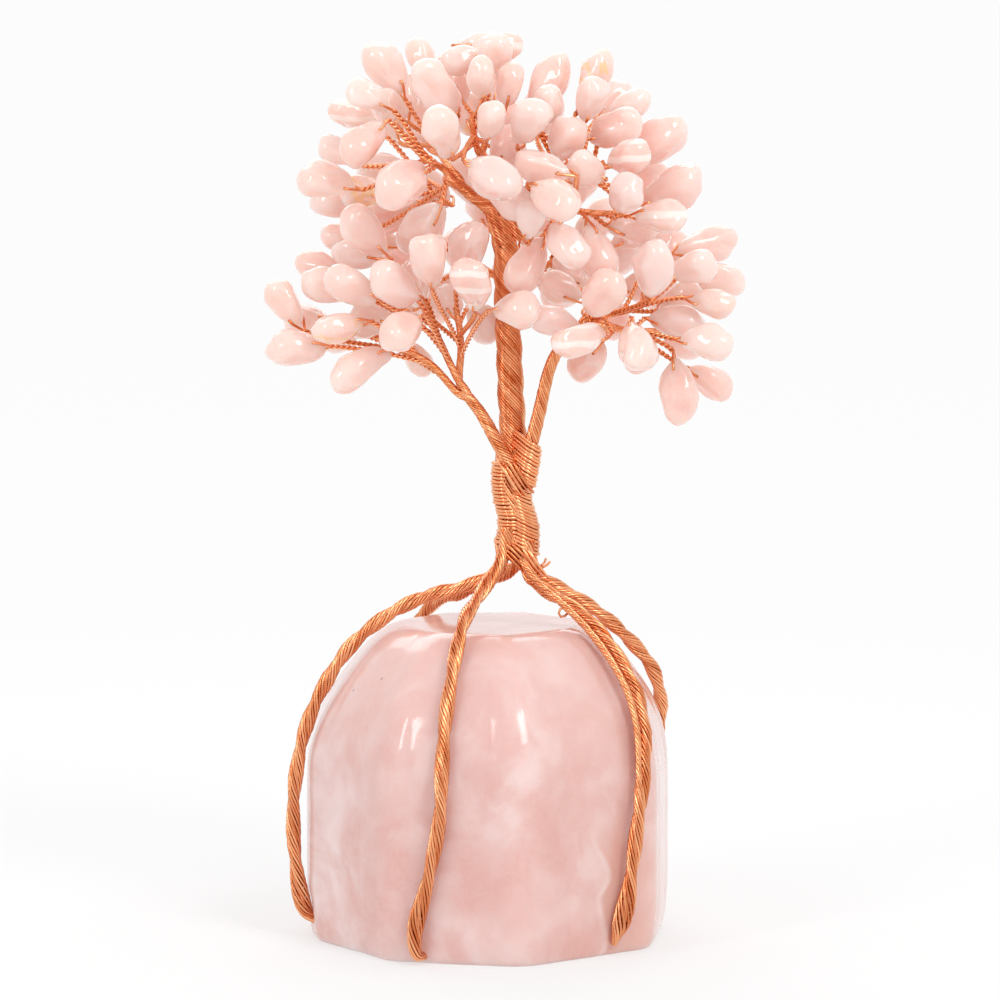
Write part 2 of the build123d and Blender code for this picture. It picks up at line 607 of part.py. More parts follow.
# Stone, notched for the root feet
with BuildPart() as stone:
    for level_share, size_share in STONE_LEVEL_SHARES:
        with BuildSketch(Plane.XY.offset(level_share * STONE_HEIGHT)) as outline:
            Polygon(*[tuple(corner * size_share) for corner in corners], align=None)
            fillet(outline.vertices(), STONE_ROUNDING * size_share)
    loft()
    for path in root_paths.values():
        tip = array(path @ 1)
        with BuildSketch(Plane(origin=tuple(tip), z_dir=(0, 0, 1))):
            Circle(root_radius + NOTCH_GAP)
        extrude(amount=ROOT_DIAMETER * 2, both=True, mode=Mode.SUBTRACT)

# Lower trunk, with its binding wire wound on half turns of two arcs each
with BuildPart() as trunk_lower:
    with Locations(tuple(foot)):
        Cylinder(TRUNK_FOOT_DIAMETER / 2, FORK_HEIGHT, align=(Align.CENTER, Align.CENTER, Align.MIN))

coil_radius = TRUNK_FOOT_DIAMETER / 2 + BINDING_GAP + WIRE_DIAMETER / 2


def coil_point(turn):
    """Place and heading of the binding wire after a number of turns."""
    angle = turn * 2 * math.pi
    rise = BINDING_START + turn * BINDING_PITCH
    spot = foot + [coil_radius * math.cos(angle), coil_radius * math.sin(angle), rise]
    heading = [-coil_radius * math.sin(angle), coil_radius * math.cos(angle), BINDING_PITCH / (2 * math.pi)]
    return spot, unit(heading)


with BuildPart() as trunk_binding:
    with BuildLine() as winding:
        spot, heading = coil_point(0)
        Line(tuple(spot - heading * WIRE_DIAMETER), tuple(spot))
        for half_turn in range(2 * BINDING_TURNS):
            p0, t0 = coil_point(half_turn / 2)
            p1, t1 = coil_point((half_turn + 1) / 2)
            span = p1 - p0
            both = span @ (t0 + t1)
            bend = 2 * (1 - t0 @ t1)
            handle = (math.sqrt(both * both + bend * (span @ span)) - both) / bend
            q0 = p0 + handle * t0
            q1 = p1 - handle * t1
            joint = (q0 + q1) / 2
            TangentArc(tuple(p0), tuple(joint), tangent=tuple(t0))
            TangentArc(tuple(joint), tuple(p1), tangent=tuple(q1 - q0))
        Line(tuple(p1), tuple(p1 + t1 * WIRE_DIAMETER))
    with BuildSketch(Plane(origin=winding.line @ 0, z_dir=winding.line % 0)):
        Circle(WIRE_DIAMETER / 2)
    sweep(path=winding.line)
marks = np.array([coil_point(turn)[0] for turn in np.linspace(0, BINDING_TURNS, BINDING_TURNS * 36)])
spread = np.linalg.norm(marks[:, None] - marks[None], axis=2)
apart = np.abs(np.subtract.outer(np.arange(len(marks)), np.arange(len(marks)))) > 18
print("binding's least gap to itself", round(spread[apart].min() - WIRE_DIAMETER, 3))

pieces = {"stone_base": stone.part, "trunk_lower": trunk_lower.part, "trunk_binding": trunk_binding.part}
pieces["trunk_upper"] = tube(trunk_path, TRUNK_DIAMETER)
for name, path in root_paths.items():
    pieces[name] = tube(path, ROOT_DIAMETER, end_ball=ROOT_DIAMETER)
for name, path in bough_paths.items():
    pieces[name] = tube(path, BOUGH_DIAMETER, start_ball=BALL_DIAMETER if name in BENDS else None)
for name in SPRIG_PIXELS:
    pieces[name + "_wires"] = Compound(children=sprig_wires[name])
    pieces[name + "_chips"] = Compound(children=sprig_chips[name])

os.makedirs("parts", exist_ok=True)
for name, piece in pieces.items():
    piece.label = name
    export_step(piece, "parts/" + name + ".step")
for name in BENDS:
    print("pivot", name, array(bough_paths[name] @ 0).round(3))
print("pieces", len(pieces), "chips", len(chips))
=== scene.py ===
import json
import math
import bpy
import numpy as np
from mathutils import Matrix, Vector
from mathutils.bvhtree import BVHTree


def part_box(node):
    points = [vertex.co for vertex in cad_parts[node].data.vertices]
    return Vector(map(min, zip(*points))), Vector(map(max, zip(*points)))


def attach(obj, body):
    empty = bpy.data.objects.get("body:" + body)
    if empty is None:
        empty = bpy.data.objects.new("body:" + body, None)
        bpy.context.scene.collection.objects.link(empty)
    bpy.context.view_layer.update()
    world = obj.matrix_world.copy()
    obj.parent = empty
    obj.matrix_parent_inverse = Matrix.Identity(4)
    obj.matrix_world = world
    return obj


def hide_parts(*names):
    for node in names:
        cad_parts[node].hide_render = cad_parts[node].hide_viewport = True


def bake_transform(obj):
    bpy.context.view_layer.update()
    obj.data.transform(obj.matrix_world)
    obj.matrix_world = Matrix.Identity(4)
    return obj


# Gemstone tree: the finish of the quartz chips, the copper wire work and the quartz base.
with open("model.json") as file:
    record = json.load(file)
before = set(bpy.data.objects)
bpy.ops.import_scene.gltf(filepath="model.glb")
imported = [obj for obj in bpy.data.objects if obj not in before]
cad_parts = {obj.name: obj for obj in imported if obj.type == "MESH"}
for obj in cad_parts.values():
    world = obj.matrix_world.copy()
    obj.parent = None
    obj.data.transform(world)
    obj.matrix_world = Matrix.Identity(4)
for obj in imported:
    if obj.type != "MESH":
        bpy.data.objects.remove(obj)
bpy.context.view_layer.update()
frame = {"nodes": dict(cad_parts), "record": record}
scene = bpy.context.scene
scene.view_settings.view_transform = "Standard"
MM = 0.001

# Wire gauges and twists, in millimetres
WIRE = 0.20
BINDING_WIRE = 0.27
TWIG_WIRE = 0.20
TWIG_COIL = 0.21
TWIG_PITCH = 1.6
TWIG_MARKS = 10
TWIG_LEAVING = (0.55, 0.45)
TWIG_ARRIVING = (0.45, 0.55)
TWIG_PULL = 0.8
TUCK_DEPTH = 1.9
QUARTZ_IOR = 1.54

# Holes of the chip solids, then stem and hole of the finished chips
SOLID_HOLE_SHARE = 0.29
SOLID_MOUTH_SHARE = 0.438
SOLID_MOUTH_GAP = 0.46
STEM_REACH = 0.9
HOLE_SHARE = 0.18
CHIP_LENGTHEN = 1.16
CHIP_WIDEN = 0.94
CHIP_THICKEN = 1.02

# Control points of the wire bundles, in millimetres: those of the solids, but for the start of the front and
# back roots and the feet of the front and left ones
ROUTES = {
    "root_front": [(2.6, -1.9, 57.0), (1.6, -2.9, 55.0), (-0.3, -5.6, 52.2), (-2.2, -9.4, 50.0), (-3.7, -14.2, 47.9),
                   (-4.6, -18.2, 44.5), (-5.3, -21.4, 40.6), (-6.0, -23.9, 36.7), (-6.7, -26.8, 28.9),
                   (-6.7, -27.0, 24.3), (-7.2, -26.9, 19.3), (-8.9, -26.6, 11.0), (-10.5, -26.1, 6.0),
                   (-10.6, -25.9, 2.5), (-10.2, -25.3, 1.3), (-9.4, -23.8, 1.2)],
    "root_left": [(1.8, 0.4, 55.2), (1.8, 0.4, 53.6), (-2.4, -0.2, 51.4), (-10.5, -1.1, 49.8), (-17.0, -2.1, 45.9),
                  (-21.7, -3.0, 41.3), (-26.4, -3.7, 32.6), (-28.2, -4.0, 24.3), (-28.6, -4.0, 17.0),
                  (-28.0, -3.9, 9.6), (-27.3, -3.8, 5.4), (-26.4, -3.7, 3.4), (-25.0, -3.6, 2.8)],
    "root_right_front": [(5.7, -1.7, 55.2), (5.7, -1.7, 53.6), (6.4, -1.7, 51.9), (14.2, -6.3, 47.8),
                         (19.2, -10.7, 41.8), (21.9, -13.2, 36.1), (22.6, -15.8, 28.9), (21.5, -17.1, 20.4),
                         (20.6, -17.9, 13.1), (19.5, -18.6, 6.0), (17.9, -17.9, 1.7)],
    "root_right_back": [(6.1, 1.0, 55.2), (6.1, 1.0, 53.6), (8.9, 1.4, 51.6), (15.7, 3.0, 47.6), (21.3, 5.3, 42.2),
                        (24.7, 8.0, 37.6), (25.7, 11.4, 30.3), (23.3, 14.6, 22.0), (21.3, 16.6, 12.9),
                        (20.5, 17.2, 6.0), (19.3, 16.2, 1.7)],
    "root_back": [(4.8, 2.0, 55.4), (4.5, 2.4, 54.0), (-0.4, 6.0, 51.0), (-5.2, 9.7, 48.7), (-8.4, 13.5, 47.5),
                  (-12.0, 17.7, 41.3), (-14.1, 20.2, 36.7), (-16.2, 22.3, 28.9), (-16.3, 22.4, 24.3),
                  (-16.3, 22.5, 18.4), (-16.7, 22.2, 11.0), (-17.0, 21.7, 6.0), (-16.0, 20.4, 1.7)],
    "left_bough": [(1.2, -2.6, 72.5), (-0.1, -2.8, 75.1), (-1.9, -2.6, 78.0), (-3.8, -2.3, 80.0)],
    "right_bough": [(6.2, -2.6, 72.5), (7.5, -2.9, 77.9), (8.8, -3.2, 84.1), (11.2, -3.5, 87.8), (14.1, -4.1, 90.0)],
    "back_bough": [(3.9, 3.8, 72.5), (3.6, 4.4, 78.1), (3.3, 6.7, 86.7), (3.0, 9.0, 93.8)],
    "upper_left_bough": [(0.5, -0.9, 105.1), (0.2, -0.9, 106.5), (-1.9, -2.0, 107.7), (-4.8, -3.2, 110.4)],
    "top_bough": [(1.1, 1.9, 107.0), (0.9, 1.8, 108.3), (0.7, 0.6, 109.4), (-0.7, -0.3, 113.2)],
    "upper_right_bough": [(3.4, -0.2, 105.6), (3.1, -0.3, 107.0), (3.6, -1.2, 107.5), (6.2, -2.6, 109.0)],
    "left_low": [(-4.3, -2.5, 79.5), (-5.3, -2.4, 80.5), (-9.0, -3.5, 85.0), (-12.6, -4.1, 86.2)],
    "left_mid": [(-3.4, -2.9, 80.4), (-4.4, -2.7, 81.4), (-7.0, -2.6, 87.0), (-8.8, -3.2, 91.4)],
    "left_inner": [(-3.6, -1.6, 80.1), (-4.5, -1.4, 81.1), (-3.8, -1.3, 87.5), (-4.8, -1.5, 92.1)],
    "right_inner": [(13.6, -4.4, 90.5), (14.7, -4.6, 91.4), (16.4, -5.5, 92.7), (17.8, -6.1, 95.0)],
    "right_outer": [(14.2, -3.3, 90.0), (15.3, -3.5, 90.8), (20.7, -2.6, 91.8), (24.2, -2.6, 93.4)],
    "right_low": [(14.4, -4.5, 89.4), (15.5, -4.7, 90.3), (20.2, -5.2, 88.7), (23.6, -5.5, 88.9)],
    "back_left": [(2.4, 9.4, 93.6), (2.4, 9.9, 94.9), (0.1, 9.9, 96.3), (-3.0, 10.7, 98.3), (-5.9, 11.3, 100.0)],
    "back_mid": [(3.0, 8.3, 94.0), (2.9, 8.7, 95.3), (3.0, 10.4, 97.7), (2.8, 11.6, 101.4), (2.5, 12.5, 105.4)],
    "back_right": [(3.8, 9.3, 93.7), (3.7, 9.7, 95.0), (6.2, 9.9, 95.9), (9.1, 10.7, 97.7), (12.3, 11.3, 99.7)],
    "upper_left_front": [(-4.8, -3.9, 110.1), (-5.8, -4.3, 111.0), (-6.1, -4.4, 112.0), (-7.7, -5.2, 113.1),
                         (-9.7, -5.8, 113.9)],
    "upper_left_back": [(-5.3, -2.7, 110.1), (-6.3, -3.1, 111.0), (-5.9, 0.0, 110.0), (-7.1, 3.5, 108.3),
                        (-8.6, 6.1, 107.6)],
    "upper_left_high": [(-4.3, -3.0, 111.0), (-5.3, -3.4, 111.9), (-6.2, -2.3, 113.1), (-7.7, -1.2, 115.3),
                        (-9.4, -0.3, 117.6)],
    "top_front": [(-0.8, -0.9, 113.1), (-1.3, -1.2, 114.3), (-1.6, -2.3, 114.8), (-2.2, -3.8, 117.1),
                  (-2.5, -4.6, 119.9)],
    "top_back": [(-0.7, 0.4, 113.4), (-1.1, 0.1, 114.7), (-0.7, 0.6, 114.9), (-0.3, 2.0, 117.7), (-0.1, 2.9, 120.9)],
    "upper_right_front": [(6.3, -3.1, 108.5), (7.4, -3.8, 109.1), (9.7, -5.2, 107.3), (13.8, -6.4, 105.9),
                          (17.8, -7.0, 106.0)],
    "upper_right_high": [(5.8, -2.7, 109.7), (6.9, -3.3, 110.3), (8.4, -2.3, 111.3), (9.7, -1.9, 113.6),
                         (10.6, -1.7, 116.5)],
    "upper_right_far": [(6.6, -1.9, 109.0), (7.7, -2.6, 109.6), (9.7, -1.5, 109.8), (13.2, -0.9, 111.2),
                        (16.7, -0.6, 113.0)],
    "trunk_upper": [(3.6, 0.0, 70.9), (3.6, 0.0, 72.6), (3.2, 0.0, 78.4), (2.9, 0.3, 86.4), (2.5, 0.6, 94.3),
                    (2.6, 0.6, 100.1), (1.7, 0.3, 105.4)],
}
ROOTS = ["root_front", "root_left", "root_right_front", "root_right_back", "root_back"]
ROOT_FEET = dict(zip(ROOTS, (0.12, 0.10, 0.22, 0.16, 0.10)))
PLY_PITCHES = (-8.6, -24.0)
FRONT_PLY_PITCHES = (-15.0, -24.0)
BENDING_BOUGHS = ["left_bough", "right_bough", "back_bough", "top_bough"]
FIXED_BOUGHS = ["upper_left_bough", "upper_right_bough"]
BOUGHS = BENDING_BOUGHS + FIXED_BOUGHS
BOUGH_SINK = 4.0
BOUGH_LEAN = (0.16, 0.16, 0)
BOUGH_BEND = 2.2
TRUNK_AXIS = (3.6, 0.0, 0.0)
BOUGH_LOWER_ENDS = {"back_bough": [(3.8, 0.9, 64.8), (3.9, 1.9, 67.0), (4.0, 3.0, 69.8)]}
SPRIGS = [name[:-6] for name in frame["nodes"] if name.endswith("_chips")]

# Left and right edge of the bound trunk at each level, in millimetres
TRUNK_EDGES = [
    (55.9, 0.5, 7.0), (57.3, 0.7, 7.4), (58.9, 1.2, 7.5), (61.1, 1.1, 7.5), (62.9, 0.5, 7.0),
    (64.9, 0.2, 6.4), (66.4, 0.2, 6.2), (67.9, 0.3, 6.7), (69.3, 0.5, 7.0), (70.5, 1.0, 6.9),
]

# Radii that the turns at the fork run on
FORK_TRUNK_RADIUS = 1.80
FORK_BOUGH_RADIUS = 1.22

# How the second strand of the right front root stands off it, and loose wire ends near it, in millimetres
SECOND_STRAND_SHIFTS = [
    (-1.1, -1.4, -0.2), (-1.2, -1.6, -0.2), (-1.2, -1.5, 0.0), (-0.9, -0.9, 0.0), (0.0, -0.3, 0.0),
]
STRAY_ENDS = [
    [(7.0, -1.6, 54.4), (7.6, -1.7, 54.5), (8.1, -1.8, 55.0), (8.3, -1.8, 55.6)],
    [(7.1, -1.3, 54.2), (7.8, -1.4, 54.2), (8.5, -1.4, 54.6), (8.9, -1.4, 55.1)],
    [(11.6, -5.2, 48.2), (11.0, -5.4, 47.6), (10.4, -5.5, 47.5), (10.1, -5.5, 48.0), (10.3, -5.5, 48.6),
     (10.9, -5.4, 48.9), (11.5, -5.2, 48.7)],
]

body_of = {node: body for body, nodes in frame["record"]["behaviour"]["bodies"].items() for node in nodes}


def unit(vector):
    return np.asarray(vector, float) / max(np.linalg.norm(vector), 1e-12)


# Node building


def feed(tree, node, feeds):
    """Feed a node's inputs from sockets, or set them to values."""
    for key, value in feeds.items():
        if isinstance(value, bpy.types.NodeSocket):
            tree.links.new(value, node.inputs[key])
        else:
            node.inputs[key].default_value = value


def put(tree, kind, feeds=None, **settings):
    """A node with its settings and its inputs."""
    node = tree.nodes.new(kind)
    for key, value in settings.items():
        setattr(node, key, value)
    feed(tree, node, feeds or {})
    return node


def calc(tree, operation, first, second=None, third=None):
    """A number worked out from one, two or three others."""
    feeds = {0: first}
    if second is not None:
        feeds[1] = second
    if third is not None:
        feeds[2] = third
    return put(tree, "ShaderNodeMath", feeds, operation=operation).outputs[0]


def times(tree, first, second):
    return calc(tree, "MULTIPLY", first, second)


def vector_calc(tree, operation, first, second=None, scale=None):
    feeds = {0: first}
    if second is not None:
        feeds[1] = second
    if scale is not None:
        feeds["Scale"] = scale
    node = put(tree, "ShaderNodeVectorMath", feeds, operation=operation)
    return node.outputs["Value" if operation in ("DOT_PRODUCT", "LENGTH") else "Vector"]


def smooth_step(tree, value, low, high):
    node = put(tree, "ShaderNodeMapRange", {"Value": value, "From Min": low, "From Max": high},
               interpolation_type="SMOOTHSTEP")
    return node.outputs["Result"]


def geometry_tree(name, sockets):
    """A new geometry tree with named inputs, its input node and its output node."""
    tree = bpy.data.node_groups.new(name, "GeometryNodeTree")
    tree.interface.new_socket("Geometry", in_out="INPUT", socket_type="NodeSocketGeometry")
    tree.interface.new_socket("Geometry", in_out="OUTPUT", socket_type="NodeSocketGeometry")
    for label, kind, value in sockets:
        socket = tree.interface.new_socket(label, in_out="INPUT", socket_type="NodeSocket" + kind)
        if value is not None:
            socket.default_value = value
    return tree, tree.nodes.new("NodeGroupInput").outputs, tree.nodes.new("NodeGroupOutput").inputs


def dressed_mesh(source, tree, values, name):
    """The plain mesh that a tree makes of an object, with its inputs set by name."""
    modifier = source.modifiers.new(tree.name, "NODES")
    modifier.node_group = tree
    for item in tree.interface.items_tree:
        if item.in_out == "INPUT" and item.name in values:
            modifier[item.identifier] = values[item.name]
    bpy.context.view_layer.update()
    seen = source.evaluated_get(bpy.context.evaluated_depsgraph_get())
    mesh = bpy.data.meshes.new_from_object(seen)
    mesh.name = name
    source.modifiers.remove(modifier)
    bpy.data.objects.remove(source)
    return mesh


def placed(name, mesh):
    piece = bpy.data.objects.new(name, mesh)
    scene.collection.objects.link(piece)
    return piece


def joined(name, meshes):
    """One piece from several meshes, their attributes kept."""
    parts = [placed(name, mesh) for mesh in meshes]
    if len(parts) > 1:
        with bpy.context.temp_override(active_object=parts[0], selected_editable_objects=parts):
            bpy.ops.object.join()
    return parts[0]


def bundle_curve(name, points):
    """A smooth curve on control points in millimetres."""
    data = bpy.data.curves.new(name, "CURVE")
    data.dimensions = "3D"
    data.resolution_u = 16
    spline = data.splines.new("NURBS")
    spline.points.add(len(points) - 1)
    for point, place in zip(spline.points, points):
        point.co = (*[c * MM for c in place], 1)
    spline.order_u = 3
    spline.use_endpoint_u = True
    return placed(name, data)


def wire_curve(name, runs):
    """A curve object with one straight-run spline for each list of points in millimetres."""
    data = bpy.data.curves.new(name, "CURVE")
    data.dimensions = "3D"
    for run in runs:
        spline = data.splines.new("POLY")
        spline.points.add(len(run) - 1)
        flat = np.ones((len(run), 4))
        flat[:, :3] = np.asarray(run) * MM
        spline.points.foreach_set("co", flat.ravel())
    return placed(name, data)


# Effects that several finishes share


def shader_group(name, inputs, outputs):
    group = bpy.data.node_groups.new(name, "ShaderNodeTree")
    for label, kind, value in inputs:
        socket = group.interface.new_socket(label, in_out="INPUT", socket_type="NodeSocket" + kind)
        socket.default_value = value
    for label, kind in outputs:
        group.interface.new_socket(label, in_out="OUTPUT", socket_type="NodeSocket" + kind)
    return group, group.nodes.new("NodeGroupInput").outputs, group.nodes.new("NodeGroupOutput").inputs


def mixed(tree, share, first, second):
    node = put(tree, "ShaderNodeMix", {0: share, 6: first, 7: second}, data_type="RGBA")
    return node.outputs[2]


def noise(tree, where, scale, detail, shift=None, **more):
    """Outputs of a soft noise, another one for each shift."""
    feeds = {"Vector": where, "Scale": scale, "Detail": detail, **more}
    if shift is None:
        return put(tree, "ShaderNodeTexNoise", feeds).outputs
    return put(tree, "ShaderNodeTexNoise", {"W": shift, **feeds}, noise_dimensions="4D").outputs


def thread(tree, value, middle, low, high):
    """One where a value is at its middle, falling to nought on both sides."""
    off = calc(tree, "ABSOLUTE", calc(tree, "SUBTRACT", value, middle))
    return calc(tree, "SUBTRACT", 1.0, smooth_step(tree, off, low, high))


def quartz_cloud_group():
    """Milky clouds, rosier drifts and fine veils inside rose quartz."""
    group, given, out = shader_group("quartz_cloud", [
        ("Scale", "Float", 60.0), ("Shift", "Float", 0.0), ("Clear", "Color", (0.8, 0.5, 0.48, 1)),
        ("Milky", "Color", (0.9, 0.75, 0.72, 1)), ("Rosy", "Color", (0.8, 0.45, 0.42, 1)), ("Veil", "Float", 0.3),
    ], [("Colour", "Color")])
    where = put(group, "ShaderNodeTexCoord").outputs["Object"]
    shift, scale = given["Shift"], given["Scale"]
    cloud = noise(group, where, scale, 5.0, shift, Roughness=0.55, Distortion=0.6)["Fac"]
    drift = noise(group, where, times(group, scale, 0.45), 3.0, calc(group, "ADD", shift, 7.0))["Fac"]
    veil = noise(group, where, times(group, scale, 2.2), 6.0, calc(group, "ADD", shift, 13.0),
                 Roughness=0.7, Distortion=1.5)["Fac"]
    body = mixed(group, smooth_step(group, cloud, 0.36, 0.66), given["Clear"], given["Milky"])
    body = mixed(group, times(group, smooth_step(group, drift, 0.42, 0.68), 0.85), body, given["Rosy"])
    body = mixed(group, times(group, thread(group, veil, 0.5, 0.0, 0.06), given["Veil"]), body, given["Milky"])
    group.links.new(body, out["Colour"])
    return group


def wire_tone_group():
    """How one strand of wire differs from the next, and the browner bloom on handled copper."""
    group, given, out = shader_group("wire_tone", [
        ("Bright", "Color", (0.9, 0.5, 0.25, 1)), ("Dark", "Color", (0.5, 0.2, 0.08, 1)), ("Bloom", "Float", 0.4),
        ("Polish", "Float", 0.25),
    ], [("Colour", "Color"), ("Roughness", "Float"), ("Height", "Float")])
    tone = put(group, "ShaderNodeAttribute", attribute_name="tone").outputs["Fac"]
    where = put(group, "ShaderNodeTexCoord").outputs["Object"]
    bloom = smooth_step(group, noise(group, where, 210.0, 4.0, Roughness=0.6)["Fac"], 0.45, 0.72)
    share = calc(group, "MULTIPLY_ADD", bloom, given["Bloom"], times(group, tone, 0.75))
    colour = mixed(group, calc(group, "MINIMUM", share, 1.0), given["Bright"], given["Dark"])
    group.links.new(colour, out["Colour"])
    group.links.new(calc(group, "MULTIPLY_ADD", bloom, 0.14, given["Polish"]), out["Roughness"])
    group.links.new(noise(group, where, 2600.0, 2.0)["Fac"], out["Height"])
    return group


quartz_cloud = quartz_cloud_group()
wire_tone = wire_tone_group()


def new_finish(name):
    finish = bpy.data.materials.new(name)
    finish.use_nodes = True
    return finish, finish.node_tree, finish.node_tree.nodes["Principled BSDF"]


def copper_finish(name, bright, dark, bloom, polish):
    finish, tree, shader = new_finish(name)
    tone = put(tree, "ShaderNodeGroup", {"Bright": bright, "Dark": dark, "Bloom": bloom, "Polish": polish},
               node_tree=wire_tone).outputs
    bump = put(tree, "ShaderNodeBump", {"Height": tone["Height"], "Strength": 0.08, "Distance": 0.00004})
    feed(tree, shader, {"Base Color": tone["Colour"], "Roughness": tone["Roughness"], "Metallic": 1.0,
                        "Normal": bump.outputs["Normal"]})
    return finish


def chip_finish():
    finish, tree, shader = new_finish("tumbled_quartz")
    tone = put(tree, "ShaderNodeAttribute", attribute_name="tone").outputs["Fac"]
    cloud = put(tree, "ShaderNodeGroup", {
        "Shift": times(tree, tone, 40.0), "Scale": 130.0, "Clear": (0.85, 0.595, 0.53, 1),
        "Milky": (0.88, 0.67, 0.62, 1), "Rosy": (0.85, 0.525, 0.465, 1), "Veil": 0.25}, node_tree=quartz_cloud)
    paler = times(tree, smooth_step(tree, tone, 0.35, 0.85), 0.5)
    colour = mixed(tree, paler, cloud.outputs["Colour"], (0.88, 0.73, 0.69, 1))
    greyer = times(tree, smooth_step(tree, tone, 0.72, 0.95), 0.7)
    colour = mixed(tree, greyer, colour, (0.82, 0.62, 0.58, 1))
    where = put(tree, "ShaderNodeTexCoord").outputs["Object"]
    bands = put(tree, "ShaderNodeTexWave", {"Vector": where, "Scale": 120.0, "Distortion": 3.0, "Detail": 2.0,
                                            "Detail Scale": 1.0}, bands_direction="Z").outputs["Fac"]
    banded = times(tree, calc(tree, "COMPARE", tone, 0.19, 0.03), smooth_step(tree, bands, 0.55, 0.9))
    colour = mixed(tree, times(tree, banded, 0.75), colour, (0.97, 0.82, 0.78, 1))
    vein = thread(tree, noise(tree, where, 160.0, 3.0, Distortion=1.0)["Fac"], 0.55, 0.0, 0.05)
    veined = times(tree, calc(tree, "COMPARE", tone, 0.54, 0.02), vein)
    colour = mixed(tree, times(tree, veined, 0.7), colour, (0.93, 0.55, 0.22, 1))
    pits = noise(tree, where, 420.0, 3.0)["Fac"]
    bump = put(tree, "ShaderNodeBump", {"Height": pits, "Strength": 0.03, "Distance": 0.0003})
    # The chips glow faintly in their own colour: painted light that lifts their shaded sides and the shade between
    # them, standing in for light passing through the quartz.
    feed(tree, shader, {
        "Base Color": colour, "Emission Color": colour, "Emission Strength": 0.10, "Normal": bump.outputs["Normal"],
        "Roughness": calc(tree, "MULTIPLY_ADD", pits, 0.08, 0.03), "IOR": QUARTZ_IOR, "Subsurface Weight": 1.0,
        "Subsurface Radius": (1.0, 0.6, 0.5), "Subsurface Scale": 0.006, "Coat Weight": 0.5, "Coat Roughness": 0.03})
    return finish


def base_finish():
    finish, tree, shader = new_finish("polished_quartz")
    where = put(tree, "ShaderNodeTexCoord").outputs["Object"]
    spot = put(tree, "ShaderNodeSeparateXYZ", {0: where}).outputs
    cloud = put(tree, "ShaderNodeGroup", {
        "Scale": 105.0, "Shift": 3.1, "Clear": (0.79, 0.49, 0.45, 1), "Milky": (0.90, 0.71, 0.69, 1),
        "Rosy": (0.76, 0.42, 0.37, 1), "Veil": 0.12}, node_tree=quartz_cloud)
    warmer = times(tree, smooth_step(tree, spot[0], -0.010, 0.026), 0.35)
    colour = mixed(tree, warmer, cloud.outputs["Colour"], (0.84, 0.50, 0.43, 1))
    higher = times(tree, smooth_step(tree, spot[2], 0.024, 0.046), 0.45)
    colour = mixed(tree, higher, colour, (0.90, 0.64, 0.60, 1))
    # A crack low on the front, and the rosier quartz behind it
    wave = put(tree, "ShaderNodeTexNoise", {"W": spot[2], "Scale": 130.0, "Detail": 0.5}, noise_dimensions="1D")
    wave = calc(tree, "MULTIPLY_ADD", calc(tree, "SUBTRACT", wave.outputs["Fac"], 0.5), 0.006, 0.0158)
    past = calc(tree, "SUBTRACT", spot[0], wave)
    low = smooth_step(tree, times(tree, spot[2], -1.0), -0.020, -0.014)
    low = times(tree, low, calc(tree, "LESS_THAN", spot[1], 0.0))
    behind = times(tree, smooth_step(tree, past, 0.0, 0.0005),
                   smooth_step(tree, times(tree, past, -1.0), -0.012, -0.003))
    colour = mixed(tree, times(tree, times(tree, behind, low), 0.6), colour, (0.78, 0.42, 0.34, 1))
    crack = thread(tree, past, 0.0, 0.0001, 0.0008)
    colour = mixed(tree, times(tree, times(tree, crack, low), 0.35), colour, (0.95, 0.78, 0.74, 1))
    # Dark specks
    specks = put(tree, "ShaderNodeTexVoronoi", {"Vector": where, "Scale": 210.0, "Randomness": 1.0}).outputs
    chance = put(tree, "ShaderNodeSeparateColor", {"Color": specks["Color"]}).outputs[0]
    speck = times(tree, calc(tree, "LESS_THAN", specks["Distance"], 0.065),
                  calc(tree, "GREATER_THAN", chance, 0.72))
    colour = mixed(tree, times(tree, speck, 0.55), colour, (0.30, 0.19, 0.18, 1))
    # Ripples left by the polish, and rubbed marks that lean with the facets
    ripple = noise(tree, where, 95.0, 4.0, Roughness=0.55)["Fac"]
    bump = put(tree, "ShaderNodeBump", {"Height": ripple, "Strength": 0.10, "Distance": 0.0006})
    leaning = calc(tree, "MULTIPLY_ADD", spot[2], -0.35, spot[0])
    along = put(tree, "ShaderNodeCombineXYZ", {0: leaning, 1: spot[1], 2: times(tree, spot[2], 0.05)})
    rubbed = noise(tree, along.outputs[0], 620.0, 2.0)["Fac"]
    marks = put(tree, "ShaderNodeBump", {"Height": rubbed, "Strength": 0.10, "Distance": 0.00012,
                                         "Normal": bump.outputs["Normal"]})
    feed(tree, shader, {
        "Base Color": colour, "Normal": marks.outputs["Normal"],
        "Roughness": calc(tree, "MULTIPLY_ADD", ripple, 0.16, 0.05), "Coat Weight": 0.12, "Coat Roughness": 0.04,
        "IOR": QUARTZ_IOR, "Subsurface Weight": 0.6, "Subsurface Radius": (1.0, 0.65, 0.58),
        "Subsurface Scale": 0.006})
    return finish


bundle_copper = copper_finish("bundle_copper", (0.99, 0.50, 0.26, 1), (0.57, 0.12, 0.022, 1), 0.27, 0.15)
twig_copper = copper_finish("twig_copper", (0.99, 0.49, 0.27, 1), (0.69, 0.185, 0.04, 1), 0.26, 0.16)
tumbled_quartz = chip_finish()
polished_quartz = base_finish()


# Wire work


def finish_tree(tree, shape, given, out):
    """Close a geometry tree: the shape shaded smooth, in the given finish."""
    smooth = put(tree, "GeometryNodeSetShadeSmooth", {0: shape})
    whole = put(tree, "GeometryNodeRealizeInstances", {0: smooth.outputs[0]})
    dressed = put(tree, "GeometryNodeSetMaterial", {"Geometry": whole.outputs[0], "Material": given["Finish"]})
    tree.links.new(dressed.outputs[0], out["Geometry"])


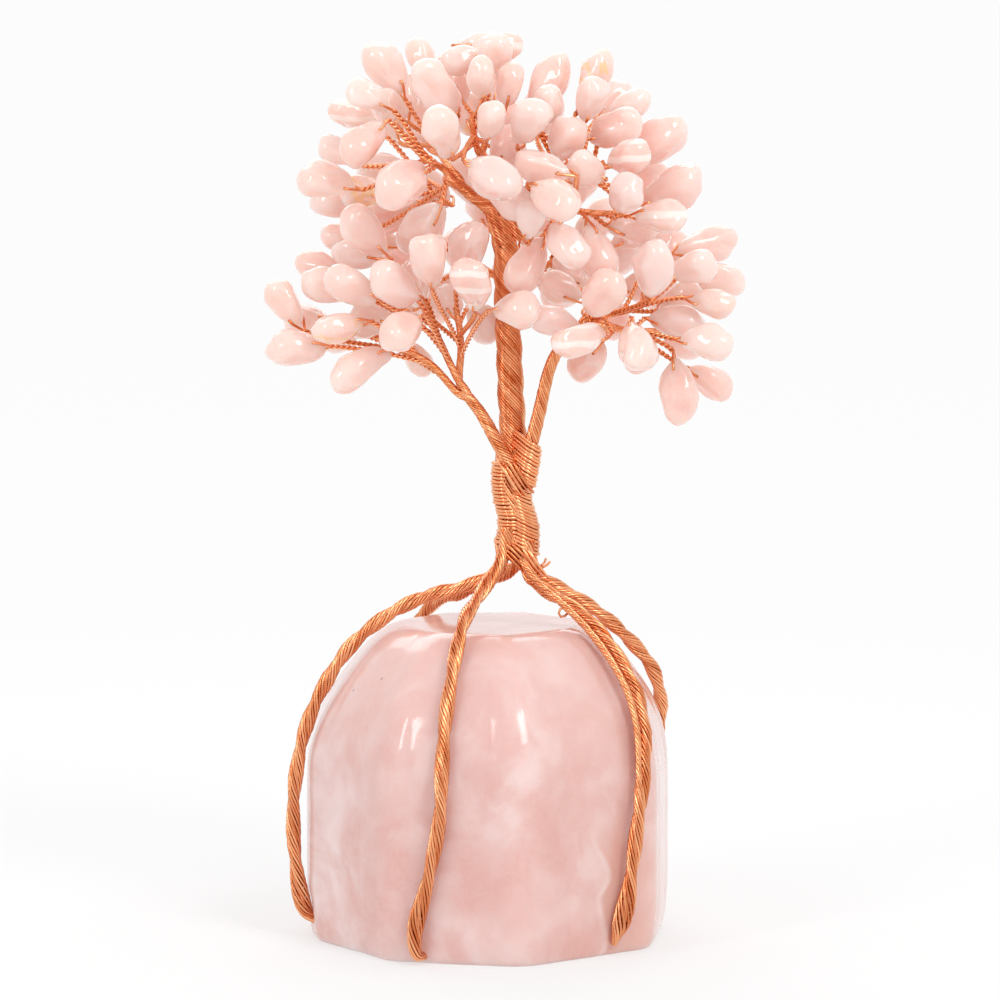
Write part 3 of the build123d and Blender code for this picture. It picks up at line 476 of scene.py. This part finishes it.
def wire_along(tree, lines, tone, given, out):
    """Close a geometry tree: round wire along each line, with its tone kept."""
    marked = put(tree, "GeometryNodeStoreNamedAttribute", {"Geometry": lines, "Name": "tone", "Value": tone},
                 data_type="FLOAT", domain="POINT")
    ring = put(tree, "GeometryNodeCurvePrimitiveCircle", {"Resolution": 6, "Radius": given["Wire Radius"]})
    tube = put(tree, "GeometryNodeCurveToMesh", {"Curve": marked.outputs[0], "Profile Curve": ring.outputs[0],
                                                 "Fill Caps": True})
    finish_tree(tree, tube.outputs[0], given, out)


def wire_tube_tree():
    """Round wire along every spline."""
    tree, given, out = geometry_tree("wire_tube", [
        ("Wire Radius", "Float", 0.00016), ("Seed", "Int", 1), ("Finish", "Material", None)])
    tone = put(tree, "FunctionNodeRandomValue", {"ID": put(tree, "GeometryNodeInputIndex").outputs[0],
                                                 "Seed": given["Seed"]}, data_type="FLOAT")
    spline_tone = put(tree, "GeometryNodeFieldOnDomain", {0: tone.outputs[1]}, data_type="FLOAT", domain="CURVE")
    wire_along(tree, given["Geometry"], spline_tone.outputs[0], given, out)
    return tree


def wire_rope_tree():
    """Wires laid in plies round a path, their twist and spread changing from its start to its end."""
    tree, given, out = geometry_tree("wire_rope", [
        ("Step", "Float", 0.0005), ("Plies", "Int", 1), ("Wires", "Int", 14), ("Wire Radius", "Float", 0.00016),
        ("Ply Radius", "Float", 0.0), ("Start Radius", "Float", 0.001), ("End Radius", "Float", 0.001),
        ("Foot Spread", "Float", 0.0), ("Start Turns", "Float", 60.0), ("End Turns", "Float", 60.0),
        ("Ply Start Turns", "Float", 60.0), ("Ply End Turns", "Float", 60.0), ("Stray", "Float", 0.00005),
        ("Seed", "Int", 1), ("Finish", "Material", None)])
    path = put(tree, "GeometryNodeResampleCurve", {"Curve": given["Geometry"], "Length": given["Step"]},
               mode="LENGTH")
    copies = put(tree, "GeometryNodeDuplicateElements", {
        "Geometry": path.outputs[0], "Amount": times(tree, given["Plies"], given["Wires"])}, domain="SPLINE")
    number = copies.outputs["Duplicate Index"]
    ply = calc(tree, "FLOOR", calc(tree, "DIVIDE", number, given["Wires"]))
    wire = calc(tree, "MODULO", number, given["Wires"])
    along = put(tree, "GeometryNodeSplineParameter").outputs

    def lay_angle(first, last, share):
        rise = calc(tree, "SUBTRACT", last, first)
        rate = calc(tree, "MULTIPLY_ADD", rise, times(tree, along["Factor"], 0.5), first)
        return times(tree, calc(tree, "MULTIPLY_ADD", along["Length"], rate, share), math.tau)

    turn = lay_angle(given["Start Turns"], given["End Turns"], calc(tree, "DIVIDE", wire, given["Wires"]))
    ply_turn = lay_angle(given["Ply Start Turns"], given["Ply End Turns"], calc(tree, "DIVIDE", ply, given["Plies"]))
    normal = put(tree, "GeometryNodeInputNormal").outputs[0]
    tangent = put(tree, "GeometryNodeInputTangent").outputs[0]
    across = vector_calc(tree, "CROSS_PRODUCT", tangent, normal)
    slope = calc(tree, "SUBTRACT", given["End Radius"], given["Start Radius"])
    spread = calc(tree, "MULTIPLY_ADD", slope, along["Factor"], given["Start Radius"])
    flare = times(tree, smooth_step(tree, along["Factor"], 0.82, 0.94), given["Foot Spread"])
    pinch = times(tree, smooth_step(tree, along["Factor"], 0.95, 1.0), times(tree, given["Foot Spread"], 2.6))
    reach = calc(tree, "SUBTRACT", calc(tree, "ADD", spread, flare), pinch)

    def ring_offset(angle, radius):
        first = vector_calc(tree, "SCALE", normal, scale=times(tree, calc(tree, "COSINE", angle), radius))
        second = vector_calc(tree, "SCALE", across, scale=times(tree, calc(tree, "SINE", angle), radius))
        return vector_calc(tree, "ADD", first, second)

    ply_reach = times(tree, given["Ply Radius"], calc(tree, "DIVIDE", reach, given["Start Radius"]))
    offset = vector_calc(tree, "ADD", ring_offset(turn, reach), ring_offset(ply_turn, ply_reach))
    where = put(tree, "GeometryNodeInputPosition").outputs[0]
    sway = noise(tree, where, 240.0, 1.0, calc(tree, "MULTIPLY_ADD", number, 3.7, given["Seed"]))["Color"]
    sway = vector_calc(tree, "SUBTRACT", sway, (0.5, 0.5, 0.5))
    sway = vector_calc(tree, "SCALE", sway, scale=times(tree, given["Stray"], 4.0))
    laid = put(tree, "GeometryNodeSetPosition", {"Geometry": copies.outputs[0],
                                                 "Offset": vector_calc(tree, "ADD", offset, sway)})
    tone = put(tree, "FunctionNodeRandomValue", {"ID": number, "Seed": given["Seed"]}, data_type="FLOAT")
    wire_along(tree, laid.outputs[0], tone.outputs[1], given, out)
    return tree


wire_tube = wire_tube_tree()
wire_rope = wire_rope_tree()


def rope_mesh(name, points, start, end, wires, start_pitch, end_pitch, plies=1, ply_radius=0.0,
              ply_pitches=(-20.0, -20.0), foot=0.0, step=0.45, wire=WIRE, stray=0.05, seed=1, finish=bundle_copper):
    """A wire rope along control points, its sizes in millimetres; a negative pitch lays it left-handed."""
    return dressed_mesh(bundle_curve(name, points), wire_rope, {
        "Step": step * MM, "Plies": plies, "Wires": wires, "Wire Radius": wire * MM, "Ply Radius": ply_radius * MM,
        "Start Radius": start * MM, "End Radius": end * MM, "Foot Spread": foot * MM,
        "Start Turns": 1 / (start_pitch * MM), "End Turns": 1 / (end_pitch * MM),
        "Ply Start Turns": 1 / (ply_pitches[0] * MM), "Ply End Turns": 1 / (ply_pitches[1] * MM),
        "Stray": stray * MM, "Seed": seed, "Finish": finish}, name)


def wire_mesh(name, runs, wire=WIRE, seed=1, finish=bundle_copper):
    return dressed_mesh(wire_curve(name, runs), wire_tube, {
        "Wire Radius": wire * MM, "Seed": seed, "Finish": finish}, name)


def loose_parts(node):
    """Points and triangles of each solid of a node, in millimetres."""
    mesh = frame["nodes"][node].data
    count = len(mesh.vertices)
    places = np.empty(count * 3)
    mesh.vertices.foreach_get("co", places)
    places = places.reshape(-1, 3) / MM
    mesh.calc_loop_triangles()
    faces = np.empty(len(mesh.loop_triangles) * 3, int)
    mesh.loop_triangles.foreach_get("vertices", faces)
    keys = np.round(places * 1e4).astype(np.int64)
    _, first, same = np.unique(keys, axis=0, return_index=True, return_inverse=True)
    places = places[first]
    faces = same.reshape(-1)[faces].reshape(-1, 3)
    label = np.arange(len(places))
    while True:
        least = label[faces].min(1)
        fresh = label.copy()
        for column in range(3):
            np.minimum.at(fresh, faces[:, column], least)
        fresh = fresh[fresh]
        if (fresh == label).all():
            break
        label = fresh
    parts = []
    for mark in np.unique(label):
        parts.append((places[label == mark], places[faces[label[faces[:, 0]] == mark]]))
    return parts


def chip_frames(sprig):
    """Middle, axes and sizes of each chip of a sprig, and where its twig leaves the limb."""
    start = np.array(ROUTES[sprig][0])
    wires = [points for points, _ in loose_parts(sprig + "_wires")]
    limb = min(range(len(wires)), key=lambda k: np.linalg.norm(wires[k] - start, axis=1).min())
    twigs = [points for k, points in enumerate(wires) if k != limb]
    chips = []
    for points, corners in loose_parts(sprig + "_chips"):
        edge = np.cross(corners[:, 1] - corners[:, 0], corners[:, 2] - corners[:, 0])
        area = np.linalg.norm(edge, axis=1)
        centre = (corners.mean(1) * area[:, None]).sum(0) / area.sum()
        arms = np.concatenate([corners.reshape(-1, 3), corners.mean(1)]) - centre
        weights = np.concatenate([np.repeat(area / 12, 3), area * 9 / 12])
        spread = (arms * weights[:, None]).T @ arms
        axes = np.linalg.eigh(spread)[1]
        along, across, through = axes[:, 2], axes[:, 1], axes[:, 0]
        low = np.array([(points @ axis).min() for axis in (along, across, through)])
        high = np.array([(points @ axis).max() for axis in (along, across, through)])
        middle = sum(axis * value for axis, value in zip((along, across, through), (low + high) / 2))
        sizes = high - low
        finds = []
        for sign in (-1, 1):
            hole = middle + sign * along * sizes[0] * (0.5 - SOLID_HOLE_SHARE)
            mouths = [hole + turn * through * (sizes[2] * SOLID_MOUTH_SHARE + SOLID_MOUTH_GAP) for turn in (-1, 1)]
            for k, twig in enumerate(twigs):
                finds.append((max(np.linalg.norm(twig - mouth, axis=1).min() for mouth in mouths), k, sign))
        _, k, sign = min(finds)
        twig = twigs[k]
        along = -sign * along
        far = twig[np.argmax(np.linalg.norm(twig - middle, axis=1))]
        root = twig[np.linalg.norm(twig - far, axis=1) < 0.75].mean(0)
        chips.append(dict(middle=middle, along=along, across=np.cross(through, along), through=through,
                          sizes=sizes, root=root))
    return chips


def curve_marks(points):
    """Places along a smooth curve on control points, in millimetres."""
    guide = bundle_curve("guide", points)
    mesh = bpy.data.meshes.new_from_object(guide)
    places = np.empty(len(mesh.vertices) * 3)
    mesh.vertices.foreach_get("co", places)
    bpy.data.objects.remove(guide)
    bpy.data.meshes.remove(mesh)
    return places.reshape(-1, 3) / MM


def twig_run(chip, limb):
    """One wire from the limb, coiled up the twig, through the chip's hole and coiled back down."""
    length, _, thickness = chip["sizes"] * (CHIP_LENGTHEN, CHIP_WIDEN, CHIP_THICKEN)
    along, through = chip["along"], chip["through"]
    stem = chip["middle"] - along * (length / 2 + STEM_REACH)
    hole = chip["middle"] - along * length * (0.5 - HOLE_SHARE)
    near = int(np.argmin(np.linalg.norm(limb - chip["root"], axis=1)))
    near = max(near - 4, 1)
    start = limb[near]
    way = unit(limb[min(near + 1, len(limb) - 1)] - limb[near - 1])
    reach = np.linalg.norm(stem - start)
    share = np.linspace(0, 1, max(int(reach * TWIG_MARKS / TWIG_PITCH), 12))[:, None]
    straight = unit(stem - start)
    go = straight * TWIG_LEAVING[0] + way * TWIG_LEAVING[1] * max(straight @ way, 0)
    come = straight * TWIG_ARRIVING[0] + along * TWIG_ARRIVING[1] * max(straight @ along, 0)
    go, come = go * reach * TWIG_PULL, come * reach * TWIG_PULL
    axis = ((2 * share ** 3 - 3 * share ** 2 + 1) * start + (share ** 3 - 2 * share ** 2 + share) * go
            + (3 * share ** 2 - 2 * share ** 3) * stem + (share ** 3 - share ** 2) * come)
    tangents = np.gradient(axis, axis=0)
    tangents /= np.linalg.norm(tangents, axis=1)[:, None]
    steps = np.concatenate([[0], np.cumsum(np.linalg.norm(np.diff(axis, axis=0), axis=1))])
    normals = np.empty_like(axis)
    normal = through
    for k in range(len(axis) - 1, -1, -1):
        normal = unit(normal - tangents[k] * (normal @ tangents[k]))
        normals[k] = normal
    sides = np.cross(tangents, normals)
    turn = math.tau * (steps - steps[-1])[:, None] / -TWIG_PITCH
    coil = TWIG_COIL * (np.cos(turn) * normals + np.sin(turn) * sides)
    mouth = thickness / 2 * math.sqrt(1 - (1 - 2 * HOLE_SHARE) ** 2) * 0.9
    lift = np.linspace(0, 1, 7)[1:, None]
    rise = (hole - stem) @ along
    leg = stem + along * rise * lift
    wide = through * (TWIG_COIL + (mouth - TWIG_COIL) * np.sin(lift * math.pi / 2) ** 1.3)
    return np.concatenate([axis + coil, leg + wide, (leg - wide)[::-1], (axis - coil)[::-1]])


# Chips


def chip_tree():
    """Tumbled chips on points: a ball set to each point's size and turn, with flats and dents of its own."""
    tree, given, out = geometry_tree("tumbled_chips", [
        ("Flats", "Float", 0.42), ("Dents", "Float", 0.19), ("Taper", "Float", 0.26), ("Seed", "Int", 3),
        ("Finish", "Material", None)])

    def named(label, kind):
        return put(tree, "GeometryNodeInputNamedAttribute", {"Name": label}, data_type=kind).outputs["Attribute"]

    points = put(tree, "GeometryNodeMeshToPoints", {"Mesh": given["Geometry"]})
    ball = put(tree, "GeometryNodeMeshIcoSphere", {"Radius": 0.5, "Subdivisions": 4})
    place = put(tree, "GeometryNodeInputPosition").outputs[0]
    ball = put(tree, "GeometryNodeStoreNamedAttribute", {"Geometry": ball.outputs[0], "Name": "local", "Value": place},
               data_type="FLOAT_VECTOR", domain="POINT")
    side = put(tree, "ShaderNodeSeparateXYZ", {0: place}).outputs
    swell = times(tree, times(tree, side[2], 2.0), given["Taper"])
    swell = put(tree, "ShaderNodeCombineXYZ", {0: times(tree, side[0], swell), 1: times(tree, side[1], swell)})
    ball = put(tree, "GeometryNodeSetPosition", {"Geometry": ball.outputs[0], "Offset": swell.outputs[0]})
    turn = put(tree, "FunctionNodeEulerToRotation", {0: named("turn", "FLOAT_VECTOR")})
    chips = put(tree, "GeometryNodeInstanceOnPoints", {
        "Points": points.outputs[0], "Instance": ball.outputs[0], "Rotation": turn.outputs[0],
        "Scale": named("size", "FLOAT_VECTOR")})
    whole = put(tree, "GeometryNodeRealizeInstances", {0: chips.outputs[0]})
    local = vector_calc(tree, "SCALE", named("local", "FLOAT_VECTOR"), scale=2.0)
    tone = named("tone", "FLOAT")
    size = vector_calc(tree, "LENGTH", named("size", "FLOAT_VECTOR"))
    dents = noise(tree, local, 0.75, 1.0, times(tree, tone, 90.0))["Fac"]
    push = times(tree, calc(tree, "SUBTRACT", dents, 0.5), given["Dents"])
    number = times(tree, tone, 1000.0)
    for flat in range(4):
        way = put(tree, "FunctionNodeRandomValue", {"Min": (-1, -1, -0.5), "Max": (1, 1, 1), "ID": number,
                                                    "Seed": calc(tree, "ADD", given["Seed"], float(flat))},
                  data_type="FLOAT_VECTOR").outputs[0]
        facing = vector_calc(tree, "DOT_PRODUCT", local, vector_calc(tree, "NORMALIZE", way))
        deep = calc(tree, "MAXIMUM", calc(tree, "SUBTRACT", facing, 0.70), 0.0)
        push = calc(tree, "SUBTRACT", push, times(tree, deep, times(tree, given["Flats"], 0.25)))
    normal = put(tree, "GeometryNodeInputNormal").outputs[0]
    offset = vector_calc(tree, "SCALE", normal, scale=times(tree, push, size))
    shaped = put(tree, "GeometryNodeSetPosition", {"Geometry": whole.outputs[0], "Offset": offset})
    finish_tree(tree, shaped.outputs[0], given, out)
    return tree


tumbled_chips = chip_tree()


def chip_mesh(name, chips, first):
    """The chips of one sprig as a mesh."""
    seats = bpy.data.meshes.new(name)
    seats.from_pydata([tuple(chip["middle"] * MM) for chip in chips], [], [])
    turns, sizes, tones = [], [], []
    for k, chip in enumerate(chips):
        turns += Matrix(np.array([chip["across"], chip["through"], chip["along"]]).T.tolist()).to_euler()
        length, width, thickness = chip["sizes"] * (CHIP_LENGTHEN, CHIP_WIDEN, CHIP_THICKEN) * MM
        sizes += [width, thickness, length]
        tones.append((first + k) * 0.61803 % 1)
    for label, kind in (("turn", "FLOAT_VECTOR"), ("size", "FLOAT_VECTOR"), ("tone", "FLOAT")):
        seats.attributes.new(label, kind, "POINT")
    seats.attributes["turn"].data.foreach_set("vector", turns)
    seats.attributes["size"].data.foreach_set("vector", sizes)
    seats.attributes["tone"].data.foreach_set("value", tones)
    return dressed_mesh(placed(name, seats), tumbled_chips, {"Finish": tumbled_quartz}, name)


# Base


def base_mesh(name):
    """The base read off its solid on an even grid, its edges worn, its left side fuller, its notches shallow."""
    source = frame["nodes"]["stone_base"].data
    source.calc_loop_triangles()
    solid = BVHTree.FromPolygons([v.co for v in source.vertices], [t.vertices for t in source.loop_triangles])
    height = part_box("stone_base")[1][2]
    rows, columns = 110, 288
    rim, rim_wear = 4.2 * MM, 1.7 * MM
    foot, foot_wear = 0.6 * MM, 0.5 * MM
    fuller, full_below, full_fade = 1.1 * MM, 36.0 * MM, 9.0 * MM
    notch_depth = 0.7 * MM
    levels = [height * (0.0004 + 0.9992 * k / (rows - 1)) for k in range(rows)]
    ways = [Vector((math.cos(math.tau * k / columns), math.sin(math.tau * k / columns), 0)) for k in range(columns)]
    reach = np.array([[solid.ray_cast(Vector((0, 0, level)), way)[3] for way in ways] for level in levels])
    window = range(-10, 11)
    outer = np.max([np.roll(reach, k, axis=1) for k in window], axis=0)
    outer = np.min([np.roll(outer, k, axis=1) for k in window], axis=0)
    notch = np.minimum(outer - reach, notch_depth)
    for _ in range(3):
        notch = np.mean([np.roll(notch, k, axis=1) for k in (-2, -1, 0, 1, 2)], axis=0)
        padded = np.concatenate([notch[:1], notch[:1], notch, notch[-1:], notch[-1:]])
        notch = np.mean([padded[k:k + rows] for k in range(5)], axis=0)
    places = []
    for row, level in enumerate(levels):
        over = max(0.0, 1 - (height - level) / rim)
        under = max(0.0, 1 - level / foot)
        worn = rim_wear * (1 - math.sqrt(1 - over * over)) + foot_wear * (1 - math.sqrt(1 - under * under))
        swell = fuller * min(max((full_below - level) / full_fade, 0.0), 1.0)
        for column, way in enumerate(ways):
            left = swell * max(-way.x, 0.0) ** 5
            places.append(way * (outer[row, column] - notch[row, column] - worn + left) + Vector((0, 0, level)))
    faces = []
    for row in range(rows - 1):
        for column in range(columns):
            following = (column + 1) % columns
            faces.append((row * columns + column, row * columns + following, (row + 1) * columns + following,
                          (row + 1) * columns + column))
    last = (rows - 1) * columns
    for share in (0.985, 0.95, 0.85, 0.65, 0.4, 0.15):
        ring = len(places)
        for column in range(columns):
            edge = places[(rows - 1) * columns + column]
            places.append(Vector((edge.x * share, edge.y * share, height)))
        for column in range(columns):
            following = (column + 1) % columns
            faces.append((last + column, last + following, ring + following, ring + column))
        last = ring
    faces.append(tuple(last + column for column in range(columns)))
    faces.append(tuple(reversed(range(columns))))
    mesh = bpy.data.meshes.new(name)
    mesh.from_pydata([tuple(p) for p in places], [], faces)
    mesh.shade_smooth()
    mesh.materials.append(polished_quartz)
    return mesh


# Trunk


def tucked(turns, count):
    """One along a coil, falling off over its first and last half turn."""
    return np.clip(np.minimum(turns, count - turns) / 0.5, 0, 1) ** 0.5


def trunk_wrap_run():
    """The binding wire: level turns on the left lobe, falling ones on the right, close but not even."""
    levels, lefts, rights = (np.array(column) for column in zip(*TRUNK_EDGES))
    pitch = 0.52
    bottom, top = 56.9, 68.9
    count = int((top - bottom) / pitch)
    lap = np.linspace(0, count, count * 40)
    level = bottom + lap * pitch + 0.03 * np.sin(lap * 1.7) + 0.02 * np.sin(lap * 4.3 + 1.0)
    left, right = np.interp(level, levels, lefts), np.interp(level, levels, rights)
    half = (right - left) / 2 - BINDING_WIRE + 0.07 * np.sin(lap * 2.3) + 0.06 * np.sin(lap * 5.9 + 0.5)
    half = half * (0.65 + 0.35 * tucked(lap, count))
    middle = (right + left) / 2
    side = np.cos(lap * math.tau)
    pinch = 1 - 0.20 * np.exp(-((side + 0.12) / 0.22) ** 2)
    deep = 0.86 * half * np.sin(lap * math.tau) * pinch
    fall = np.where(side > -0.12, -0.56 * (side + 0.12), -0.06 * (side + 0.12)) * half
    return np.stack([middle + half * side, deep, level + fall + 0.55], axis=1)


def fork_wrap_run():
    """Falling turns that take the foot of the right bough in with the trunk."""
    pitch = 0.57
    bottom, top = 67.0, 74.2
    count = int((top - bottom) / pitch)
    lap = np.linspace(0, count, count * 60)
    level = bottom + lap * pitch + 0.06 * np.sin(lap * 1.9)
    slack = 1 - 0.35 * (1 - tucked(lap, count)) + 0.03 * np.sin(lap * 2.7)
    bough = np.stack([np.interp(level, (67.0, 72.5, 75.0), (5.3, 6.2, 6.8)),
                      np.interp(level, (67.0, 72.5), (-1.7, -2.6))], axis=1)
    trunk = np.tile((4.3, -0.2), (len(lap), 1))
    way = np.stack([np.cos(lap * math.tau), np.sin(lap * math.tau)], axis=1)
    on_bough = ((bough - trunk) * way).sum(1) > (FORK_TRUNK_RADIUS - FORK_BOUGH_RADIUS)
    sink = 1 - 0.16 * np.clip((lap - count + 4) / 4, 0, 1)
    radius = np.where(on_bough, FORK_BOUGH_RADIUS, FORK_TRUNK_RADIUS) * slack * sink
    place = np.where(on_bough[:, None], bough, trunk) + way * radius[:, None]
    return np.column_stack([place, level - 0.72 * (place[:, 0] - 4.6)])


def crossing_runs(start, end, count, bulge):
    """Strands laid side by side over the binding, their ends tucked in."""
    start, end = np.array(start), np.array(end)
    beside = unit(np.cross(end - start, (0, 1, 0))) * 2.1 * BINDING_WIRE
    share = np.linspace(0, 1, 28)[:, None]
    runs = []
    for k in range(count):
        stagger = 0.06 * math.sin(k * 2.4)
        run = start + (end - start) * (share + stagger) + beside * (k - (count - 1) / 2)
        tuck = TUCK_DEPTH * np.abs(2 * share - 1) ** 4
        run[:, 1] += (tuck - bulge * np.sin(share * math.pi))[:, 0]
        runs.append(run)
    return runs


# Pieces: the base first, then the wire work from the ground up, then the sprigs


def finish_piece(piece, node, bend=None):
    """Set a piece in the place of its node, riding with the node's body, or, when a bend is given, left unparented with
    its transform baked in.
    """
    if bend:
        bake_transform(piece)
    else:
        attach(piece, body_of[node])
    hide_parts(node)


finish_piece(placed("quartz_base", base_mesh("quartz_base")), "stone_base")

for number, root in enumerate(ROOTS):
    route = ROUTES[root]
    lay = FRONT_PLY_PITCHES if root == "root_front" else PLY_PITCHES
    top = np.array(route[0]) + (0, 0, 3.0)
    parts = [rope_mesh(root + "_rope", [tuple(top)] + route, 0.60, 0.62, 9, -7.0, -14.0, plies=2, ply_radius=0.30,
                       ply_pitches=lay, foot=ROOT_FEET[root], seed=number + 1)]
    if root == "root_right_front":
        second = [(4.6, -2.4, 56.0), (5.0, -2.9, 53.8)]
        second += [tuple(np.array(point) + shift) for point, shift in zip(route[3:8], SECOND_STRAND_SHIFTS)]
        parts.append(rope_mesh(root + "_second", second, 0.36, 0.30, 6, -4.0, -5.0, step=0.3, seed=19))
        parts.append(wire_mesh(root + "_ends", STRAY_ENDS, seed=18))
    finish_piece(joined(root + "_rope", parts), root)

wraps = [trunk_wrap_run(), fork_wrap_run()] + crossing_runs((2.1, -3.0, 70.4), (5.5, -3.1, 65.0), 4, 0.25)
wraps += crossing_runs((1.9, -2.7, 58.0), (6.0, -2.7, 54.0), 4, 0.3)
wraps += crossing_runs((4.3, -2.7, 57.4), (7.7, -2.5, 52.4), 4, 0.2)
wrap = wire_mesh("trunk_wrap", wraps, wire=BINDING_WIRE)
finish_piece(placed("trunk_wrap", wrap), "trunk_binding")
core_route = [(4.1, 0, 55.3), (4.2, 0, 57.9), (4.0, 0, 61.9), (3.4, 0, 65.9), (3.5, 0, 68.9), (3.6, 0, 71.4)]
core = rope_mesh("trunk_core", core_route, 1.2, 1.15, 16, -26.0, -26.0, plies=3, ply_radius=1.35,
                 ply_pitches=(-26.0, -26.0), seed=7)
finish_piece(placed("trunk_core", core), "trunk_lower")
shaft = rope_mesh("trunk_shaft", [(3.5, 0, 66.9), (3.6, 0, 68.9)] + ROUTES["trunk_upper"], 1.38, 1.24, 19, -12.0, -12.0,
                  plies=3, ply_radius=0.48, ply_pitches=(-13.5, -13.5), seed=8)
finish_piece(placed("trunk_shaft", shaft), "trunk_upper")

for number, bough in enumerate(BOUGHS):
    route = [np.array(point) for point in ROUTES[bough]]
    way = unit(route[1] - route[0])
    sunk = route[0] - way * BOUGH_SINK + (np.array(TRUNK_AXIS) - route[0]) * BOUGH_LEAN
    lower = BOUGH_LOWER_ENDS.get(bough, [sunk])
    rope = rope_mesh(bough + "_rope", lower + route, 0.90, 0.58, 12, -7.5, -6.5, seed=number + 21)
    bend = (route[0] * MM, way * BOUGH_BEND * MM) if bough in BENDING_BOUGHS else None
    finish_piece(placed(bough + "_rope", rope), bough, bend)

first = 0
for number, sprig in enumerate(SPRIGS):
    chips = chip_frames(sprig)
    limb = curve_marks(ROUTES[sprig])
    bough = np.array(ROUTES[next(b for b in BOUGHS if sprig.startswith(b[:-5]))])
    way = unit(bough[-1] - bough[-2])
    route = [bough[-1] - way * 3.2, bough[-1] - way * 1.6] + ROUTES[sprig]
    rope = rope_mesh(sprig + "_limb", route, 0.44, 0.26, 8, -4.2, -3.4, step=0.25, stray=0.03, seed=number + 41,
                     finish=twig_copper)
    twigs = wire_mesh(sprig + "_twigs", [twig_run(chip, limb) for chip in chips], wire=TWIG_WIRE, seed=number + 61,
                      finish=twig_copper)
    finish_piece(joined(sprig + "_twigs", [rope, twigs]), sprig + "_wires")
    finish_piece(placed(sprig + "_quartz", chip_mesh(sprig + "_quartz", chips, first)), sprig + "_chips")
    first += len(chips)

# Floor, light and camera


def seen_share(tree):
    """One for rays that show a thing to the camera, straight or by its gloss, else nought."""
    rays = put(tree, "ShaderNodeLightPath").outputs
    return calc(tree, "MAXIMUM", rays["Is Camera Ray"],
                calc(tree, "MAXIMUM", rays["Is Glossy Ray"], rays["Is Transmission Ray"]))


floor_finish, floor_tree, floor_shader = new_finish("pale_floor")
floor_place = put(floor_tree, "ShaderNodeTexCoord").outputs["Object"]
away = smooth_step(floor_tree, vector_calc(floor_tree, "LENGTH", floor_place), 0.10, 0.42)
glow = calc(floor_tree, "MULTIPLY_ADD", away, 0.46, 0.50)
glow = times(floor_tree, glow, calc(floor_tree, "MULTIPLY_ADD", seen_share(floor_tree), 0.20, 0.80))
feed(floor_tree, floor_shader, {
    "Base Color": mixed(floor_tree, away, (0.45, 0.45, 0.45, 1), (0.02, 0.02, 0.02, 1)), "Roughness": 0.9,
    "Specular IOR Level": 0.0, "Emission Color": (1.0, 1.0, 1.0, 1), "Emission Strength": glow})
floor_mesh = bpy.data.meshes.new("floor")
floor_mesh.from_pydata([(-6, -6, 0), (6, -6, 0), (6, 6, 0), (-6, 6, 0)], [], [(0, 1, 2, 3)])
floor_mesh.materials.append(floor_finish)
floor = placed("floor", floor_mesh)

world = bpy.data.worlds.new("studio")
scene.world = world
world.use_nodes = True
sky = world.node_tree
feed(sky, sky.nodes["Background"], {
    "Color": (1.0, 1.0, 1.0, 1), "Strength": calc(sky, "MULTIPLY_ADD", seen_share(sky), 0.23, 0.77)})


def softbox(name, place, aim, size, power):
    lamp = bpy.data.lights.new(name, "AREA")
    lamp.shape = "RECTANGLE"
    lamp.size, lamp.size_y = size
    lamp.energy = power
    holder = placed(name, lamp)
    holder.location = place
    holder.rotation_euler = (Vector(aim) - Vector(place)).to_track_quat("-Z", "Y").to_euler()


softbox("key_softbox", (0.42, -0.62, 0.70), (0.0, 0.0, 0.07), (0.30, 0.46), 2.6)
softbox("left_softbox", (-0.57, -0.65, 0.56), (0.0, 0.0, 0.06), (0.15, 0.44), 1.3)
softbox("back_softbox", (-0.10, 0.60, 0.65), (0.0, 0.0, 0.09), (0.80, 0.50), 1.8)

camera = placed("camera", bpy.data.cameras.new("camera"))
camera.data.sensor_width = 36
camera.data.lens = 223
camera.data.clip_end = 20
camera.location = (0.0016, -0.895, 0.1609)
camera.rotation_euler = (Vector((0.0016, 0.0, 0.0639)) - camera.location).to_track_quat("-Z", "Y").to_euler()
scene.camera = camera
